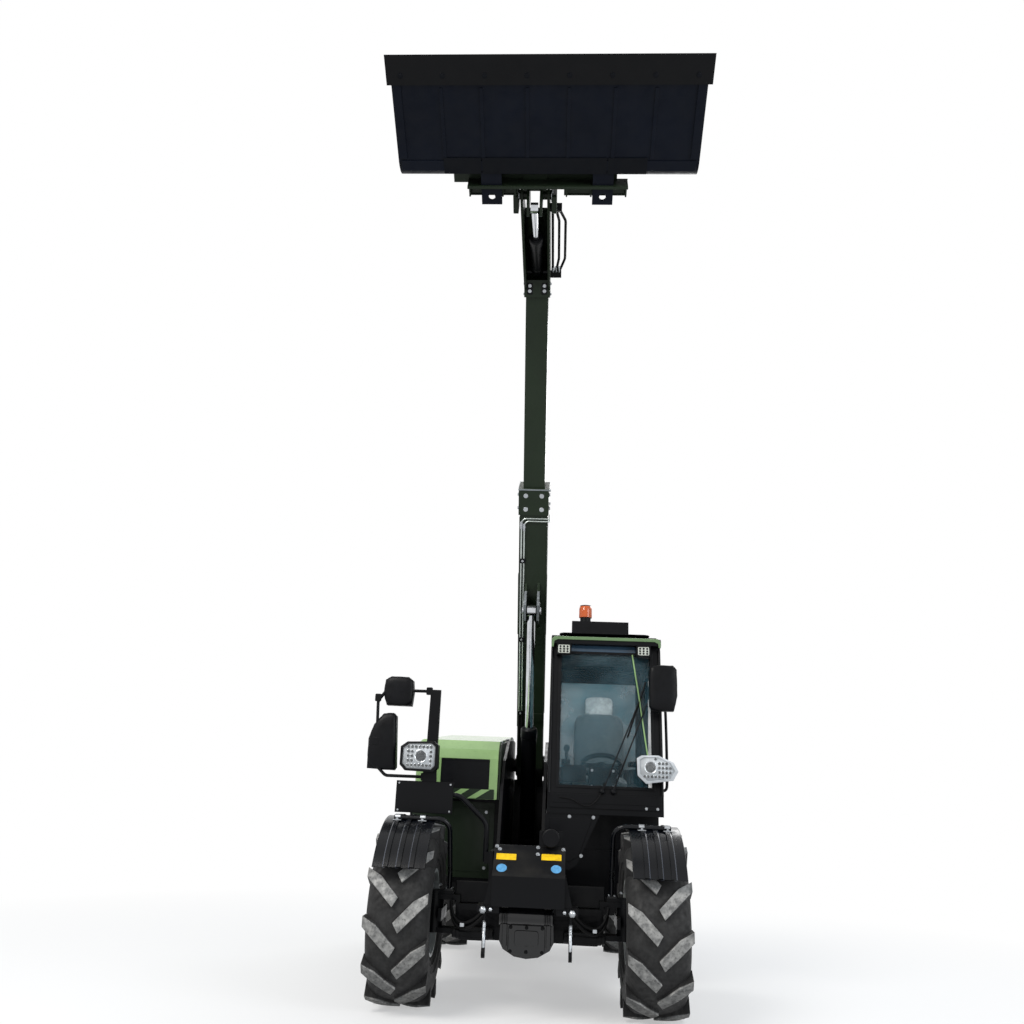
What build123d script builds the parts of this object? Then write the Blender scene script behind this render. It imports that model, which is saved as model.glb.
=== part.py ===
# Telehandler: compact four-wheel telescopic handler with a raised boom and a wide bucket.
# Millimetres. +Z up, the machine faces -Y, its cab stands on the +X side of the boom.
# Origin: on the ground, under the middle of the whole machine.
from math import cos, radians, sin, tan
import os

from build123d import *

os.makedirs("parts", exist_ok=True)

# ---------------------------------------------------------------- driving dimensions
fit_gap = 0.3                 # between faces of different pieces that seat on each other

# the machine's middle plane, off the middle of its box by what the hood's mirrors reach further out
middle_x = 76.5

# running gear
front_axle_y = -695.0         # front axle, ahead of the middle of the machine's box
wheelbase = 2750.0
track = 1790.0
tyre_radius = 625.0           # to the tips of the lugs
tyre_width = 460.0
lug_height = 34.0
lug_count = 12                # on each side of a tyre
rim_radius = 300.0
rim_width = 380.0
kingpin_x = 700.0             # from the middle of the machine
rear_axle_y = front_axle_y + wheelbase
axle_z = tyre_radius

# chassis
frame_x = -100.0              # the boom and the frame plates lie off the middle
frame_inner = 330.0           # free width between the frame plates
frame_plate = 25.0
frame_top = 1080.0
frame_bottom = 560.0
frame_front = -330.0          # from the front axle
frame_rear = 640.0            # behind the rear axle
nose_half = 250.0

# boom, in its own plane: s runs along it from the pivot, u is square to it
boom_x = frame_x
boom_angle = 58.93
pivot_back = wheelbase - 300  # behind the front axle
pivot_z = 1760.0
outer_width = 260.0
outer_height = 310.0
outer_wall = 10.0
outer_rear = -190.0
outer_front = 2950.0
inner_width = 200.0
inner_height = 244.0
inner_wall = 8.0
inner_rear = 2070.0
head_reach = 5488.0           # tool pivot, along the boom
head_length = 788.0           # from the end of the inner tube to the tool pivot
inner_front = head_reach - head_length
head_drop = 900.0             # tool pivot, below the boom's middle line
head_gap = 190.0              # free width between the head's cheeks
cheek_plate = 20.0

# cylinders
lift_base_back = pivot_back - 250
lift_base_z = 850.0
lift_pin_s = 1800.0
lift_pin_u = -305.0
lift_barrel_radius = 72.0
lift_rod_radius = 38.0
lift_barrel_length = 1330.0
tilt_base_s = inner_front + 220
tilt_base_u = -110.0
tilt_arm = (-30.0, -190.0)    # rod pin from the tool pivot, in the tool's plane
tilt_barrel_radius = 55.0
tilt_rod_radius = 27.0
tilt_barrel_length = 590.0
lift_base_pin = 32.0
tilt_base_pin = 25.0

# tool, in its own plane: a runs forward along the floor, b is square to it
tool_angle = 31.8
bucket_width = 2247.0
bucket_plate = 10.0
heel_a = 190.0                # bucket's back from the tool pivot
heel_b = -200.0               # bucket's floor from the tool pivot
heel_radius = 150.0
floor_length = 883.0
edge_length = 201.0
edge_width = 2305.0
edge_plate = 20.0
bucket_top = 650.0

# cab
cab_inner_x = 104.0
cab_outer_x = 1040.0
cab_wall = 45.0
cab_front = 460.0             # from the front axle, at the windscreen's foot
cab_rear = 2000.0
cab_floor = 1060.0
cab_deck = 1345.0             # underside above the front wheel
cab_eaves = 2730.0
roof_rim = 2790.0
roof_top = 2860.0
glass = 6.0
screen_low = 1500.0
screen_lean = 170.0           # how far the windscreen's top lies behind its foot

# hood
hood_inner_x = -316.0
hood_outer_x = -1010.0
hood_front = 620.0            # from the front axle
hood_rear = wheelbase + 310
hood_bottom = 1425.0
hood_front_top = 1900.0
hood_rear_top = 2060.0
hood_sheet = 20.0
hood_round = 45.0
grille_x = -590.0             # middle of the grille in the hood's front
grille_z = 1610.0
grille_width = 410.0
grille_height = 270.0
intake_y = 1300.0             # middle of the side grille, from the front axle
intake_length = 700.0

# ---------------------------------------------------------------- planes
along = (0, -cos(radians(boom_angle)), sin(radians(boom_angle)))
square = (0, sin(radians(boom_angle)), cos(radians(boom_angle)))
pivot = (boom_x, front_axle_y + pivot_back, pivot_z)


def side_plane(x):
    """Upright plane across X, with its origin on the ground under the front axle."""
    return Plane(origin=(x, front_axle_y, 0), x_dir=(0, 1, 0), z_dir=(1, 0, 0))


def boom_plane(x):
    """The boom's plane at X; an extrusion from it runs to -X."""
    return Plane(origin=(x, pivot[1], pivot[2]), x_dir=along, z_dir=(-1, 0, 0))


def boom_point(s, u):
    """The place in the machine's frame of a point of the boom's middle plane."""
    return tuple(pivot[i] + s * along[i] + u * square[i] for i in range(3))


tool_pivot = boom_point(head_reach, -head_drop)
tool_along = (0, -cos(radians(tool_angle)), sin(radians(tool_angle)))
tool_square = (0, sin(radians(tool_angle)), cos(radians(tool_angle)))


def tool_plane(x):
    """The tool's plane at X, with its origin on the tool pivot."""
    return Plane(origin=(x, tool_pivot[1], tool_pivot[2]), x_dir=tool_along, z_dir=(-1, 0, 0))


def tool_point(a, b):
    """The place in the machine's frame of a point of the tool's middle plane."""
    return tuple(tool_pivot[i] + a * tool_along[i] + b * tool_square[i] for i in range(3))


def save(part, name):
    """Set a finished piece off from the machine's middle plane, label it and write it out."""
    part = part.moved(Location((middle_x, 0, 0)))
    part.label = name
    export_step(part, f"parts/{name}.step")


def axis_plane(start, end):
    """A plane square to the line from start to end, at start."""
    return Plane(origin=start, z_dir=Vector(*end) - Vector(*start), x_dir=(1, 0, 0))


# ---------------------------------------------------------------- running gear
# the tyre's carcass, from the middle outwards: half width, radius; the bore trims its last ring
carcass = [
    (150, tyre_radius - lug_height - 2),
    (226, 508),
    (188, rim_radius - 10),
]
facets = 20

# a lug's outline: distance from the tread's middle, lead round the wheel
lug_outline = [(28, -150), (-12, -86), (128, 52), (tyre_width / 2, 108), (tyre_width / 2, 36)]
lug_foot = tyre_radius - lug_height - 30
lug_top = (tyre_radius**2 - 150**2) ** 0.5

hub = Plane.YZ
with BuildPart() as lugs:
    for sign, phase in ((1, 0.25), (-1, 0.75)):
        outline = [(sign * across, lead) for across, lead in lug_outline]
        for number in range(lug_count):
            turn = radians((number + phase) * 360 / lug_count)
            foot = (0, lug_foot * cos(turn), lug_foot * sin(turn))
            with BuildSketch(Plane(origin=foot, x_dir=(1, 0, 0), z_dir=(0, cos(turn), sin(turn)))):
                with BuildLine():
                    Polyline(*outline, close=True)
                make_face()
    extrude(amount=lug_top - lug_foot)

with BuildPart() as tyre:
    with BuildSketch(hub.offset(-carcass[0][0])):
        RegularPolygon(carcass[0][1], facets)
    extrude(amount=2 * carcass[0][0])
    for sign in (-1, 1):
        for (w1, r1), (w2, r2) in zip(carcass, carcass[1:]):
            with BuildSketch(hub.offset(sign * w1)):
                RegularPolygon(r1, facets)
            with BuildSketch(hub.offset(sign * w2)):
                RegularPolygon(r2, facets)
            loft(ruled=True)
    add(lugs.part)
    with BuildSketch(hub.offset(-tyre_width)):
        RegularPolygon((rim_radius + fit_gap) / cos(radians(180 / facets)), facets)
    extrude(amount=2 * tyre_width, mode=Mode.SUBTRACT)

# the rim's section: place across the wheel (+ outboard), radius
disc_x = 60.0                 # outboard face of the wheel's disc, from the tyre's middle
disc_plate = 16.0
hub_radius = 95.0
hub_out = 120.0
rim_half = rim_width / 2
with BuildPart() as rim:
    with BuildSketch(Plane.XY):
        with BuildLine():
            Polyline(
                (-rim_half, rim_radius - 22),
                (-rim_half, rim_radius),
                (rim_half, rim_radius),
                (rim_half, rim_radius - 22),
                (disc_x + 70, rim_radius - 40),
                (disc_x, rim_radius - 95),
                (disc_x, hub_radius + 45),
                (disc_x + 30, hub_radius + 20),
                (hub_out, hub_radius - 10),
                (hub_out, 0),
                (disc_x - disc_plate, 0),
                (disc_x - disc_plate, rim_radius - 95),
                (disc_x + 40, rim_radius - 52),
                (disc_x + 40 - 60, rim_radius - 22),
                close=True,
            )
        make_face()
    revolve(axis=Axis.X)

# one row a wheel: name, side (+1 on the cab's side), axle's Y
wheels = [
    ("front_left", 1, front_axle_y),
    ("front_right", -1, front_axle_y),
    ("rear_left", 1, rear_axle_y),
    ("rear_right", -1, rear_axle_y),
]

# knuckle: a hub on the kingpin, a spindle out to the wheel's disc
knuckle_height = 190.0
knuckle_radius = 68.0
spindle_radius = 60.0
fork_plate = 34.0
fork_gap = fit_gap
fork_web = 160.0              # the fork's web, inboard of the kingpin
arm_x = kingpin_x - 58        # steering arm on the knuckle
arm_plate = 26.0
arm_reach = 168.0
arm_height = 80.0
pin_top_radius = 32.0         # kingpin, through the fork's upper plate
cap_radius = 62.0
cap_plate = 24.0
cap_reach = 140.0             # the cap's inboard end, from the kingpin
cap_z = axle_z + knuckle_height / 2 + fork_plate + 2 * fork_gap
disc_inside = track / 2 + disc_x - disc_plate
for name, side, wheel_y in wheels:
    centre = (side * track / 2, wheel_y, axle_z)
    turned = Location(centre) if side > 0 else Location(centre, (0, 0, 180))
    save((tyre.part if side > 0 else mirror(tyre.part, Plane.XZ)).moved(turned), f"tyre_{name}")
    save(rim.part.moved(turned), f"rim_{name}")

    kingpin = (side * kingpin_x, wheel_y)
    with BuildPart() as knuckle:
        with BuildSketch(Plane(origin=(*kingpin, axle_z - knuckle_height / 2))):
            Circle(knuckle_radius)
        extrude(amount=knuckle_height)
        with BuildSketch(Plane(origin=(kingpin[0], wheel_y, axle_z), x_dir=(0, 1, 0), z_dir=(side, 0, 0))):
            Circle(spindle_radius)
        extrude(amount=disc_inside - kingpin_x - fit_gap)
        # kingpin through the fork, with a cap that carries the fender's tube
        with BuildSketch(Plane(origin=(*kingpin, axle_z))):
            Circle(pin_top_radius)
        extrude(amount=cap_z - axle_z)
        with BuildSketch(Plane(origin=(*kingpin, cap_z))):
            Circle(cap_radius)
            with Locations((-side * cap_reach / 2, 0)):
                Rectangle(cap_reach, 1.6 * cap_radius)
        extrude(amount=cap_plate)
        # steering arms fore and aft of the hub
        with BuildSketch(Plane.XY.offset(axle_z - arm_height / 2)):
            with Locations((side * arm_x, wheel_y)):
                Rectangle(arm_plate, 2 * arm_reach)
        extrude(amount=arm_height)
    save(knuckle.part, f"knuckle_{name}")

# fender: a ribbed sheet over the front of the wheel, hung under a curved tube that stands on
# the kingpin's cap
fender_gap = 30.0             # from the lugs' tips to the sheet
fender_radius = tyre_radius + fender_gap
fender_sheet = 9.0
fender_lead = 45.0            # the sheet's centre lies this far ahead of the axle
fender_inner = 714.0
fender_outer = 1072.0
fender_front = 149.0          # degrees round the wheel, from straight back
fender_rear = 66.0
rib_width = 30.0
rib_height = 12.0
tube_radius = 18.0
tube_x = kingpin_x - 100
tube_y = -215.0               # the tube's crossing, from the axle
tube_z = axle_z + ((fender_radius + fender_sheet) ** 2 - (tube_y + fender_lead) ** 2) ** 0.5 + tube_radius - 4


def fender_arc(radius, angle):
    """A point of the fender's round in its side plane."""
    return (radius * cos(radians(angle)) - fender_lead, axle_z + radius * sin(radians(angle)))


for name, side, wheel_y in wheels[:2]:
    middle = (fender_front + fender_rear) / 2
    step = (fender_outer - fender_inner) / 4
    # one row a strip of the sheet: inner edge, width, thickness
    strips = [(fender_inner, fender_outer - fender_inner, fender_sheet)]
    strips += [
        (fender_inner + share * step - rib_width / 2, rib_width, fender_sheet + rib_height)
        for share in (1, 2, 3)
    ]
    with BuildPart() as fender:
        for edge, width, thickness in strips:
            top = fender_radius + thickness
            with BuildSketch(Plane(origin=(side * edge, wheel_y, 0), x_dir=(0, 1, 0), z_dir=(1, 0, 0))):
                with BuildLine():
                    ThreePointArc(
                        fender_arc(fender_radius, fender_front),
                        fender_arc(fender_radius, middle),
                        fender_arc(fender_radius, fender_rear),
                    )
                    Line(fender_arc(fender_radius, fender_rear), fender_arc(top, fender_rear))
                    ThreePointArc(
                        fender_arc(top, fender_rear),
                        fender_arc(top, middle),
                        fender_arc(top, fender_front),
                    )
                    Line(fender_arc(top, fender_front), fender_arc(fender_radius, fender_front))
                make_face()
            extrude(amount=side * width)
        foot = (side * tube_x, wheel_y, cap_z + cap_plate + fit_gap)
        with BuildSketch(Plane(origin=foot)):
            Rectangle(70, 1.5 * cap_radius)
        extrude(amount=14)
        with BuildLine() as route:
            FilletPolyline(
                (foot[0], foot[1], foot[2] + 2),
                (foot[0], foot[1], foot[2] + 120),
                (foot[0], wheel_y + tube_y, tube_z),
                (side * (fender_outer - 60), wheel_y + tube_y, tube_z),
                radius=90,
            )
        with BuildSketch(Plane(origin=route.line @ 0, z_dir=route.line % 0)):
            Circle(tube_radius)
        sweep(path=route.line)
    save(fender.part, f"fender_{name}")

# axles: a housing with a round differential, and a fork for each knuckle
housing_half = 75.0
diff_radius = 155.0
for name, wheel_y in (("front", front_axle_y), ("rear", rear_axle_y)):
    with BuildPart() as axle:
        with BuildSketch(Plane.YZ.offset(-kingpin_x + fork_web + 15)):
            with Locations((wheel_y, axle_z)):
                Rectangle(2 * housing_half, 2 * housing_half)
        extrude(amount=2 * (kingpin_x - fork_web - 15))
        with BuildSketch(Plane.YZ.offset(-150)):
            with Locations((wheel_y, axle_z - 70)):
                Circle(diff_radius)
        extrude(amount=300)
        for side in (-1, 1):
            for level in (-1, 1):
                low = axle_z + level * (knuckle_height / 2 + fork_gap)
                low = low if level > 0 else low - fork_plate
                with BuildSketch(Plane.XY.offset(low)):
                    with Locations((side * (kingpin_x - fork_web / 2 - 15), wheel_y)):
                        Rectangle(fork_web + 30, 120)
                    with Locations((side * kingpin_x, wheel_y)):
                        Circle(65)
                        Circle(pin_top_radius + fit_gap, mode=Mode.SUBTRACT)
                extrude(amount=fork_plate)
            with BuildSketch(Plane.YZ.offset(side * (kingpin_x - fork_web - 15) - 15)):
                with Locations((wheel_y, axle_z)):
                    Rectangle(120, knuckle_height + 2 * fork_gap + 2 * fork_plate)
            extrude(amount=30)
    save(axle.part, f"axle_{name}")

# ---------------------------------------------------------------- chassis
plate_inner = frame_inner / 2
tower_top = pivot_z + 230.0
tower_front = 510.0           # where the plates rise, behind the front axle
bulkhead_back = pivot_back + 80
bulkhead_top = pivot_z - 260
pin_radius = 45.0
boom_pivot_gap = 12.0
foot_inner = 170.0
foot_outer = 290.0
with BuildPart() as frame:
    for side in (-1, 1):
        start = frame_x + side * plate_inner
        with BuildSketch(side_plane(start)):
            with BuildLine():
                Polyline(
                    (frame_front, frame_bottom + 200),
                    (frame_front, frame_top),
                    (tower_front - 80, frame_top),
                    (tower_front, 1270),
                    (tower_front + 100, 1500),
                    (tower_front + 350, 1750),
                    (tower_front + 1000, tower_top - 40),
                    (pivot_back - 190, tower_top),
                    (pivot_back + 150, tower_top),
                    (pivot_back + 330, 1330),
                    (wheelbase + frame_rear, 1200),
                    (wheelbase + frame_rear, frame_bottom + 60),
                    (wheelbase + 230, frame_bottom + 60),
                    (wheelbase + 150, axle_z + housing_half + 30),
                    (wheelbase - 150, axle_z + housing_half + 30),
                    (wheelbase - 260, frame_bottom),
                    (280, frame_bottom),
                    (170, axle_z + housing_half + 30),
                    (-170, axle_z + housing_half + 30),
                    close=True,
                )
            make_face()
        extrude(amount=side * frame_plate)
        # sleeve that carries the boom's pin
        sleeve = side * (plate_inner - outer_width / 2 - boom_pivot_gap)
        with BuildSketch(side_plane(start)):
            with Locations((pivot_back, pivot_z)):
                Circle(pin_radius + 22)
        extrude(amount=-sleeve)
    # floor between the plates, cross tubes, and feet on the axles
    with BuildSketch(side_plane(frame_x - plate_inner)):
        with Locations(((280 + wheelbase - 260) / 2, frame_bottom + 10)):
            Rectangle(wheelbase - 540, 20)
        with Locations((bulkhead_back + 12, (frame_bottom + bulkhead_top) / 2)):
            Rectangle(24, bulkhead_top - frame_bottom)
        for place_y, place_z in ((40, 930), (wheelbase + 60, 1000), (1200, 700)):
            with Locations((place_y, place_z)):
                Circle(55)
    extrude(amount=frame_inner)
    for place in (front_axle_y, rear_axle_y):
        with BuildSketch(Plane.XY.offset(axle_z + housing_half + 30)):
            with Locations((0, place)):
                Rectangle(2 * foot_outer, 150)
        extrude(amount=22)
        with BuildSketch(Plane.XY.offset(axle_z + housing_half + fit_gap)):
            with Locations(
                ((foot_outer + foot_inner) / 2, place), (-(foot_outer + foot_inner) / 2, place)
            ):
                Rectangle(foot_outer - foot_inner, 150)
        extrude(amount=31)
    with BuildSketch(side_plane(frame_x - frame_inner)):
        with Locations((pivot_back, pivot_z)):
            Circle(pin_radius + fit_gap)
        with Locations((lift_base_back, lift_base_z)):
            Circle(lift_base_pin + fit_gap)
    extrude(amount=2 * frame_inner, mode=Mode.SUBTRACT)
save(frame.part, "main_frame")

# nose: a box ahead of the frame plates with a long sloping top, a gusset each side and two
# tie-down lugs below
nose_front = -560.0           # from the front axle
nose_top = 1132.0             # under the lowered boom
horn_x = 145.0
horn_z = nose_top + 55
horn_radius = 62.0
nose_low = 745.0
gusset = 60.0                 # how far the gussets' feet stand out
tie_x = 295.0
with BuildPart() as nose:
    with BuildSketch(side_plane(-nose_half)):
        with BuildLine():
            Polyline(
                (nose_front, nose_low),
                (nose_front - 18, nose_low + 195),
                (nose_front + 8, nose_low + 215),
                (frame_front - 30, nose_top),
                (frame_front - fit_gap, nose_top),
                (frame_front - fit_gap, nose_low),
                close=True,
            )
        make_face()
    extrude(amount=2 * nose_half)
    for side in (-1, 1):
        # the gusset's front face, drawn square to the machine's length
        with BuildSketch(Plane.XZ.offset(-(front_axle_y + nose_front + 40))):
            with BuildLine():
                Polyline(
                    (side * (nose_half - 2), nose_low - 25),
                    (side * (nose_half + gusset), nose_low - 25),
                    (side * (nose_half + 4), nose_low + 215),
                    (side * (nose_half - 2), nose_low + 215),
                    close=True,
                )
            make_face()
        extrude(amount=-14)
        with BuildSketch(Plane.XY.offset(nose_low - 45)):
            with Locations((side * (nose_half + 20), front_axle_y + nose_front + 120)):
                Rectangle(150, 190)
        extrude(amount=46)
        with BuildSketch(Plane.XY.offset(nose_low - 330)):
            with Locations((side * tie_x, front_axle_y + nose_front + 75)):
                Circle(11)
        extrude(amount=290)
        with BuildSketch(side_plane(side * tie_x - 12)):
            with Locations((nose_front + 75, nose_low - 300)):
                Circle(34)
                Circle(17, mode=Mode.SUBTRACT)
        extrude(amount=24)
    # round horn on a plate, beside the lowered boom
    with BuildSketch(Plane.XZ.offset(-(front_axle_y + frame_front - 2))):
        with Locations((horn_x, horn_z - 15)):
            Rectangle(2 * horn_radius + 40, 2 * horn_radius)
    extrude(amount=12)
    with BuildSketch(Plane.XZ.offset(-(front_axle_y + frame_front - 12))):
        with Locations((horn_x, horn_z)):
            Circle(horn_radius)
    extrude(amount=70, taper=5)
save(nose.part, "nose")

# counterweight and rear cover, between and behind the rear wheels
rear_face = wheelbase + 750   # from the front axle
hitch_y = front_axle_y + rear_face + 35
hitch_low = 560.0
hitch_plate = 25.0
hitch_bore = 16.5
weight_half = 520.0
weight_front = wheelbase + frame_rear + fit_gap
with BuildPart() as weight:
    with BuildSketch(Plane.XY.offset(640)):
        with BuildLine():
            Polyline(
                (-weight_half, front_axle_y + weight_front),
                (weight_half, front_axle_y + weight_front),
                (weight_half, front_axle_y + rear_face - 60),
                (weight_half - 80, front_axle_y + rear_face),
                (80 - weight_half, front_axle_y + rear_face),
                (-weight_half, front_axle_y + rear_face - 60),
                close=True,
            )
        make_face()
    extrude(amount=620)
    # towing clevis under the rear face
    for low in (hitch_low, 645):
        with BuildSketch(Plane.XY.offset(low)):
            with Locations((0, hitch_y - 85)):
                Rectangle(120, 230)
        extrude(amount=hitch_plate)
    with BuildSketch(Plane.XY.offset(hitch_low)):
        with Locations((0, hitch_y - 160)):
            Rectangle(120, 80)
    extrude(amount=120)
    with BuildSketch(Plane.XY.offset(hitch_low - 10)):
        with Locations((0, hitch_y)):
            Circle(hitch_bore)
    extrude(amount=200, mode=Mode.SUBTRACT)
save(weight.part, "counterweight")

# engine, its bay beside the frame, and the tank and steps under the cab
bay_front = 830.0
bay_rear = 1890.0
bay_inner = frame_x - plate_inner - frame_plate - fit_gap
with BuildPart() as bay:
    with BuildSketch(side_plane(bay_inner)):
        with BuildLine():
            Polyline(
                (bay_front + 60, 640),
                (bay_front, 760),
                (bay_front, hood_bottom - fit_gap),
                (bay_rear, hood_bottom - fit_gap),
                (bay_rear, 760),
                (bay_rear - 60, 640),
                close=True,
            )
        make_face()
    extrude(amount=-(1060 + bay_inner))
    with BuildSketch(Plane.XY.offset(700)):
        with Locations(((bay_inner - 1060) / 2, front_axle_y + (bay_front + bay_rear) / 2)):
            Rectangle(1060 + bay_inner - 60, bay_rear - bay_front - 60)
    extrude(amount=900, mode=Mode.SUBTRACT)
save(bay.part, "engine_bay")

with BuildPart() as engine:
    with BuildSketch(Plane.XY.offset(700 + fit_gap)):
        with Locations((-680, front_axle_y + (bay_front + bay_rear) / 2)):
            Rectangle(520, 860)
    extrude(amount=1000)
save(engine.part, "engine_block")

with BuildPart() as tank:
    with BuildSketch(side_plane(frame_x + plate_inner + frame_plate + fit_gap)):
        with BuildLine():
            Polyline(
                (bay_front + 50, 560),
                (bay_front, 640),
                (bay_front, cab_floor - fit_gap),
                (bay_rear, cab_floor - fit_gap),
                (bay_rear, 640),
                (bay_rear - 50, 560),
                close=True,
            )
        make_face()
    extrude(amount=960 - (frame_x + plate_inner + frame_plate))
    with BuildSketch(side_plane(760)):
        with Locations(((bay_front + bay_rear) / 2, 790)):
            Rectangle(520, 240)
    extrude(amount=300, mode=Mode.SUBTRACT)
save(tank.part, "fuel_tank")

# hydraulic tank behind the cab, on the frame's side
with BuildPart() as oil:
    with BuildSketch(Plane.XY.offset(cab_deck)):
        with Locations((550, rear_axle_y - 150)):
            Rectangle(760, 900)
    extrude(amount=330)
    with BuildSketch(Plane.XY.offset(cab_deck)):
        with Locations(((frame_x + plate_inner + frame_plate + fit_gap + 200) / 2, rear_axle_y - 150)):
            Rectangle(200 - (frame_x + plate_inner + frame_plate + fit_gap), 400)
    extrude(amount=200)
save(oil.part, "hydraulic_tank")

# ---------------------------------------------------------------- hood
with BuildPart() as hood:
    with BuildSketch(side_plane(hood_inner_x)):
        with BuildLine():
            Polyline(
                (hood_front, hood_bottom),
                (hood_front + 15, hood_front_top - 150),
                (hood_front + 45, hood_front_top - 75),
                (hood_front + 160, hood_front_top),
                (hood_rear - 200, hood_rear_top),
                (hood_rear, hood_rear_top - 200),
                (hood_rear, hood_bottom),
                close=True,
            )
        make_face()
    extrude(amount=hood_outer_x - hood_inner_x)
    outer_edges = hood.faces().sort_by(Axis.X)[0].edges().sort_by(Axis.Z)[1:]
    fillet(outer_edges, radius=hood_round)
    with BuildSketch(side_plane(hood_inner_x + 1)):
        with BuildLine():
            Polyline(
                (hood_front + hood_sheet, hood_bottom - 1),
                (hood_front + 15 + hood_sheet, hood_front_top - 154),
                (hood_front + 45 + hood_sheet, hood_front_top - 87),
                (hood_front + 170, hood_front_top - hood_sheet),
                (hood_rear - 210, hood_rear_top - hood_sheet),
                (hood_rear - hood_sheet, hood_rear_top - 208),
                (hood_rear - hood_sheet, hood_bottom - 1),
                close=True,
            )
        make_face()
    extrude(amount=hood_outer_x + hood_sheet - hood_inner_x - 1, mode=Mode.SUBTRACT)
    # grille openings: in the front, and in the outer side
    with BuildSketch(Plane.XZ.offset(-(front_axle_y + hood_front + 100))):
        with Locations((grille_x, grille_z)):
            Rectangle(grille_width, grille_height)
    extrude(amount=120, mode=Mode.SUBTRACT)
    with BuildSketch(side_plane(hood_outer_x - 40)):
        with Locations((intake_y, grille_z)):
            Rectangle(intake_length, grille_height)
    extrude(amount=100, mode=Mode.SUBTRACT)
save(hood.part, "hood")

# grilles: flat sheets set back in their openings
with BuildPart() as grille:
    with BuildSketch(Plane.XZ.offset(-(front_axle_y + hood_front + 30))):
        with Locations((grille_x, grille_z)):
            Rectangle(grille_width - 2 * fit_gap, grille_height - 2 * fit_gap)
    extrude(amount=8)
    with BuildSketch(side_plane(hood_outer_x + 8)):
        with Locations((intake_y, grille_z)):
            Rectangle(intake_length - 2 * fit_gap, grille_height - 2 * fit_gap)
    extrude(amount=8)
save(grille.part, "hood_grille")

with BuildPart() as panel:
    with BuildSketch(side_plane(hood_inner_x + 4)):
        with BuildLine():
            Polyline(
                (hood_front + 20, hood_bottom),
                (hood_front + 35, hood_front_top - 155),
                (hood_front + 65, hood_front_top - 88),
                (hood_front + 170, hood_front_top - 20),
                (hood_rear - 210, hood_rear_top - 20),
                (hood_rear - 20, hood_rear_top - 210),
                (hood_rear - 20, hood_bottom),
                close=True,
            )
        make_face()
    extrude(amount=15)
save(panel.part, "hood_panel")

# ---------------------------------------------------------------- cab
cab_profile = [
    (cab_front, cab_deck),
    (cab_front, screen_low),
    (cab_front + screen_lean, cab_eaves),
    (cab_rear, cab_eaves),
    (cab_rear, cab_floor),
    (bay_front + 20, cab_floor),
    (bay_front + 20, cab_deck),
]


def screen_y(z):
    """The cab's front face at height z, from the front axle."""
    return cab_front + screen_lean * (z - screen_low) / (cab_eaves - screen_low)


door_front = 640.0
door_rear = 1790.0
door_low = 1110.0
door_high = cab_eaves - 90
hinge_radius = 12.0
hinge_x = cab_outer_x + 13
hinge_y = front_axle_y + door_rear + 4
hinge_leaf = 60.0
hinge_eye = 30.0
hinge_levels = (1300.0, 2440.0)
with BuildPart() as cab:
    with BuildSketch(side_plane(cab_inner_x)):
        with BuildLine():
            Polyline(*cab_profile, close=True)
        make_face()
    extrude(amount=cab_outer_x - cab_inner_x)
    with BuildSketch(side_plane(cab_inner_x + cab_wall)):
        with BuildLine():
            Polyline(
                (cab_front + cab_wall, cab_deck + cab_wall),
                (cab_front + cab_wall, screen_low),
                (cab_front + screen_lean + cab_wall, cab_eaves - cab_wall),
                (cab_rear - cab_wall, cab_eaves - cab_wall),
                (cab_rear - cab_wall, cab_floor + cab_wall),
                (bay_front + 20 + cab_wall, cab_floor + cab_wall),
                (bay_front + 20 + cab_wall, cab_deck + cab_wall),
                close=True,
            )
        make_face()
    extrude(amount=cab_outer_x - cab_inner_x - 2 * cab_wall, mode=Mode.SUBTRACT)
    # windscreen opening
    with BuildSketch(Plane.XZ.offset(-(front_axle_y + cab_front + 400))):
        with Locations(((cab_inner_x + cab_outer_x) / 2, (1560 + cab_eaves - 70) / 2)):
            Rectangle(cab_outer_x - cab_inner_x - 170, cab_eaves - 70 - 1560)
    extrude(amount=600, mode=Mode.SUBTRACT)
    # rear window opening
    with BuildSketch(Plane.XZ.offset(-(front_axle_y + cab_rear + 100))):
        with Locations(((cab_inner_x + cab_outer_x) / 2, 2150)):
            Rectangle(cab_outer_x - cab_inner_x - 200, 820)
    extrude(amount=300, mode=Mode.SUBTRACT)
    # boom-side window opening
    with BuildSketch(side_plane(cab_inner_x - 100)):
        with BuildLine():
            Polyline(
                (cab_front + 120, 1560),
                (cab_front + 265, cab_eaves - 90),
                (cab_rear - 130, cab_eaves - 90),
                (cab_rear - 130, 1560),
                close=True,
            )
        make_face()
    extrude(amount=300, mode=Mode.SUBTRACT)
    # door opening
    with BuildSketch(side_plane(cab_outer_x - 100)):
        with BuildLine():
            Polyline(
                (door_front - 40, 1430),
                (door_front + 120, door_high),
                (door_rear, door_high),
                (door_rear, door_low),
                (door_front + 300, door_low),
                (door_front + 300, 1380),
                close=True,
            )
        make_face()
    extrude(amount=300, mode=Mode.SUBTRACT)
    # hinge eyes on the rear door post
    for level in hinge_levels:
        for low in (level - hinge_eye - fit_gap, level + hinge_leaf + fit_gap):
            with BuildSketch(Plane.XY.offset(low)):
                with Locations((hinge_x, hinge_y)):
                    Circle(hinge_radius)
                with Locations((cab_outer_x + 10, hinge_y + 32)):
                    Rectangle(26, 60)
            extrude(amount=hinge_eye)
save(cab.part, "cab_frame")

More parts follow.
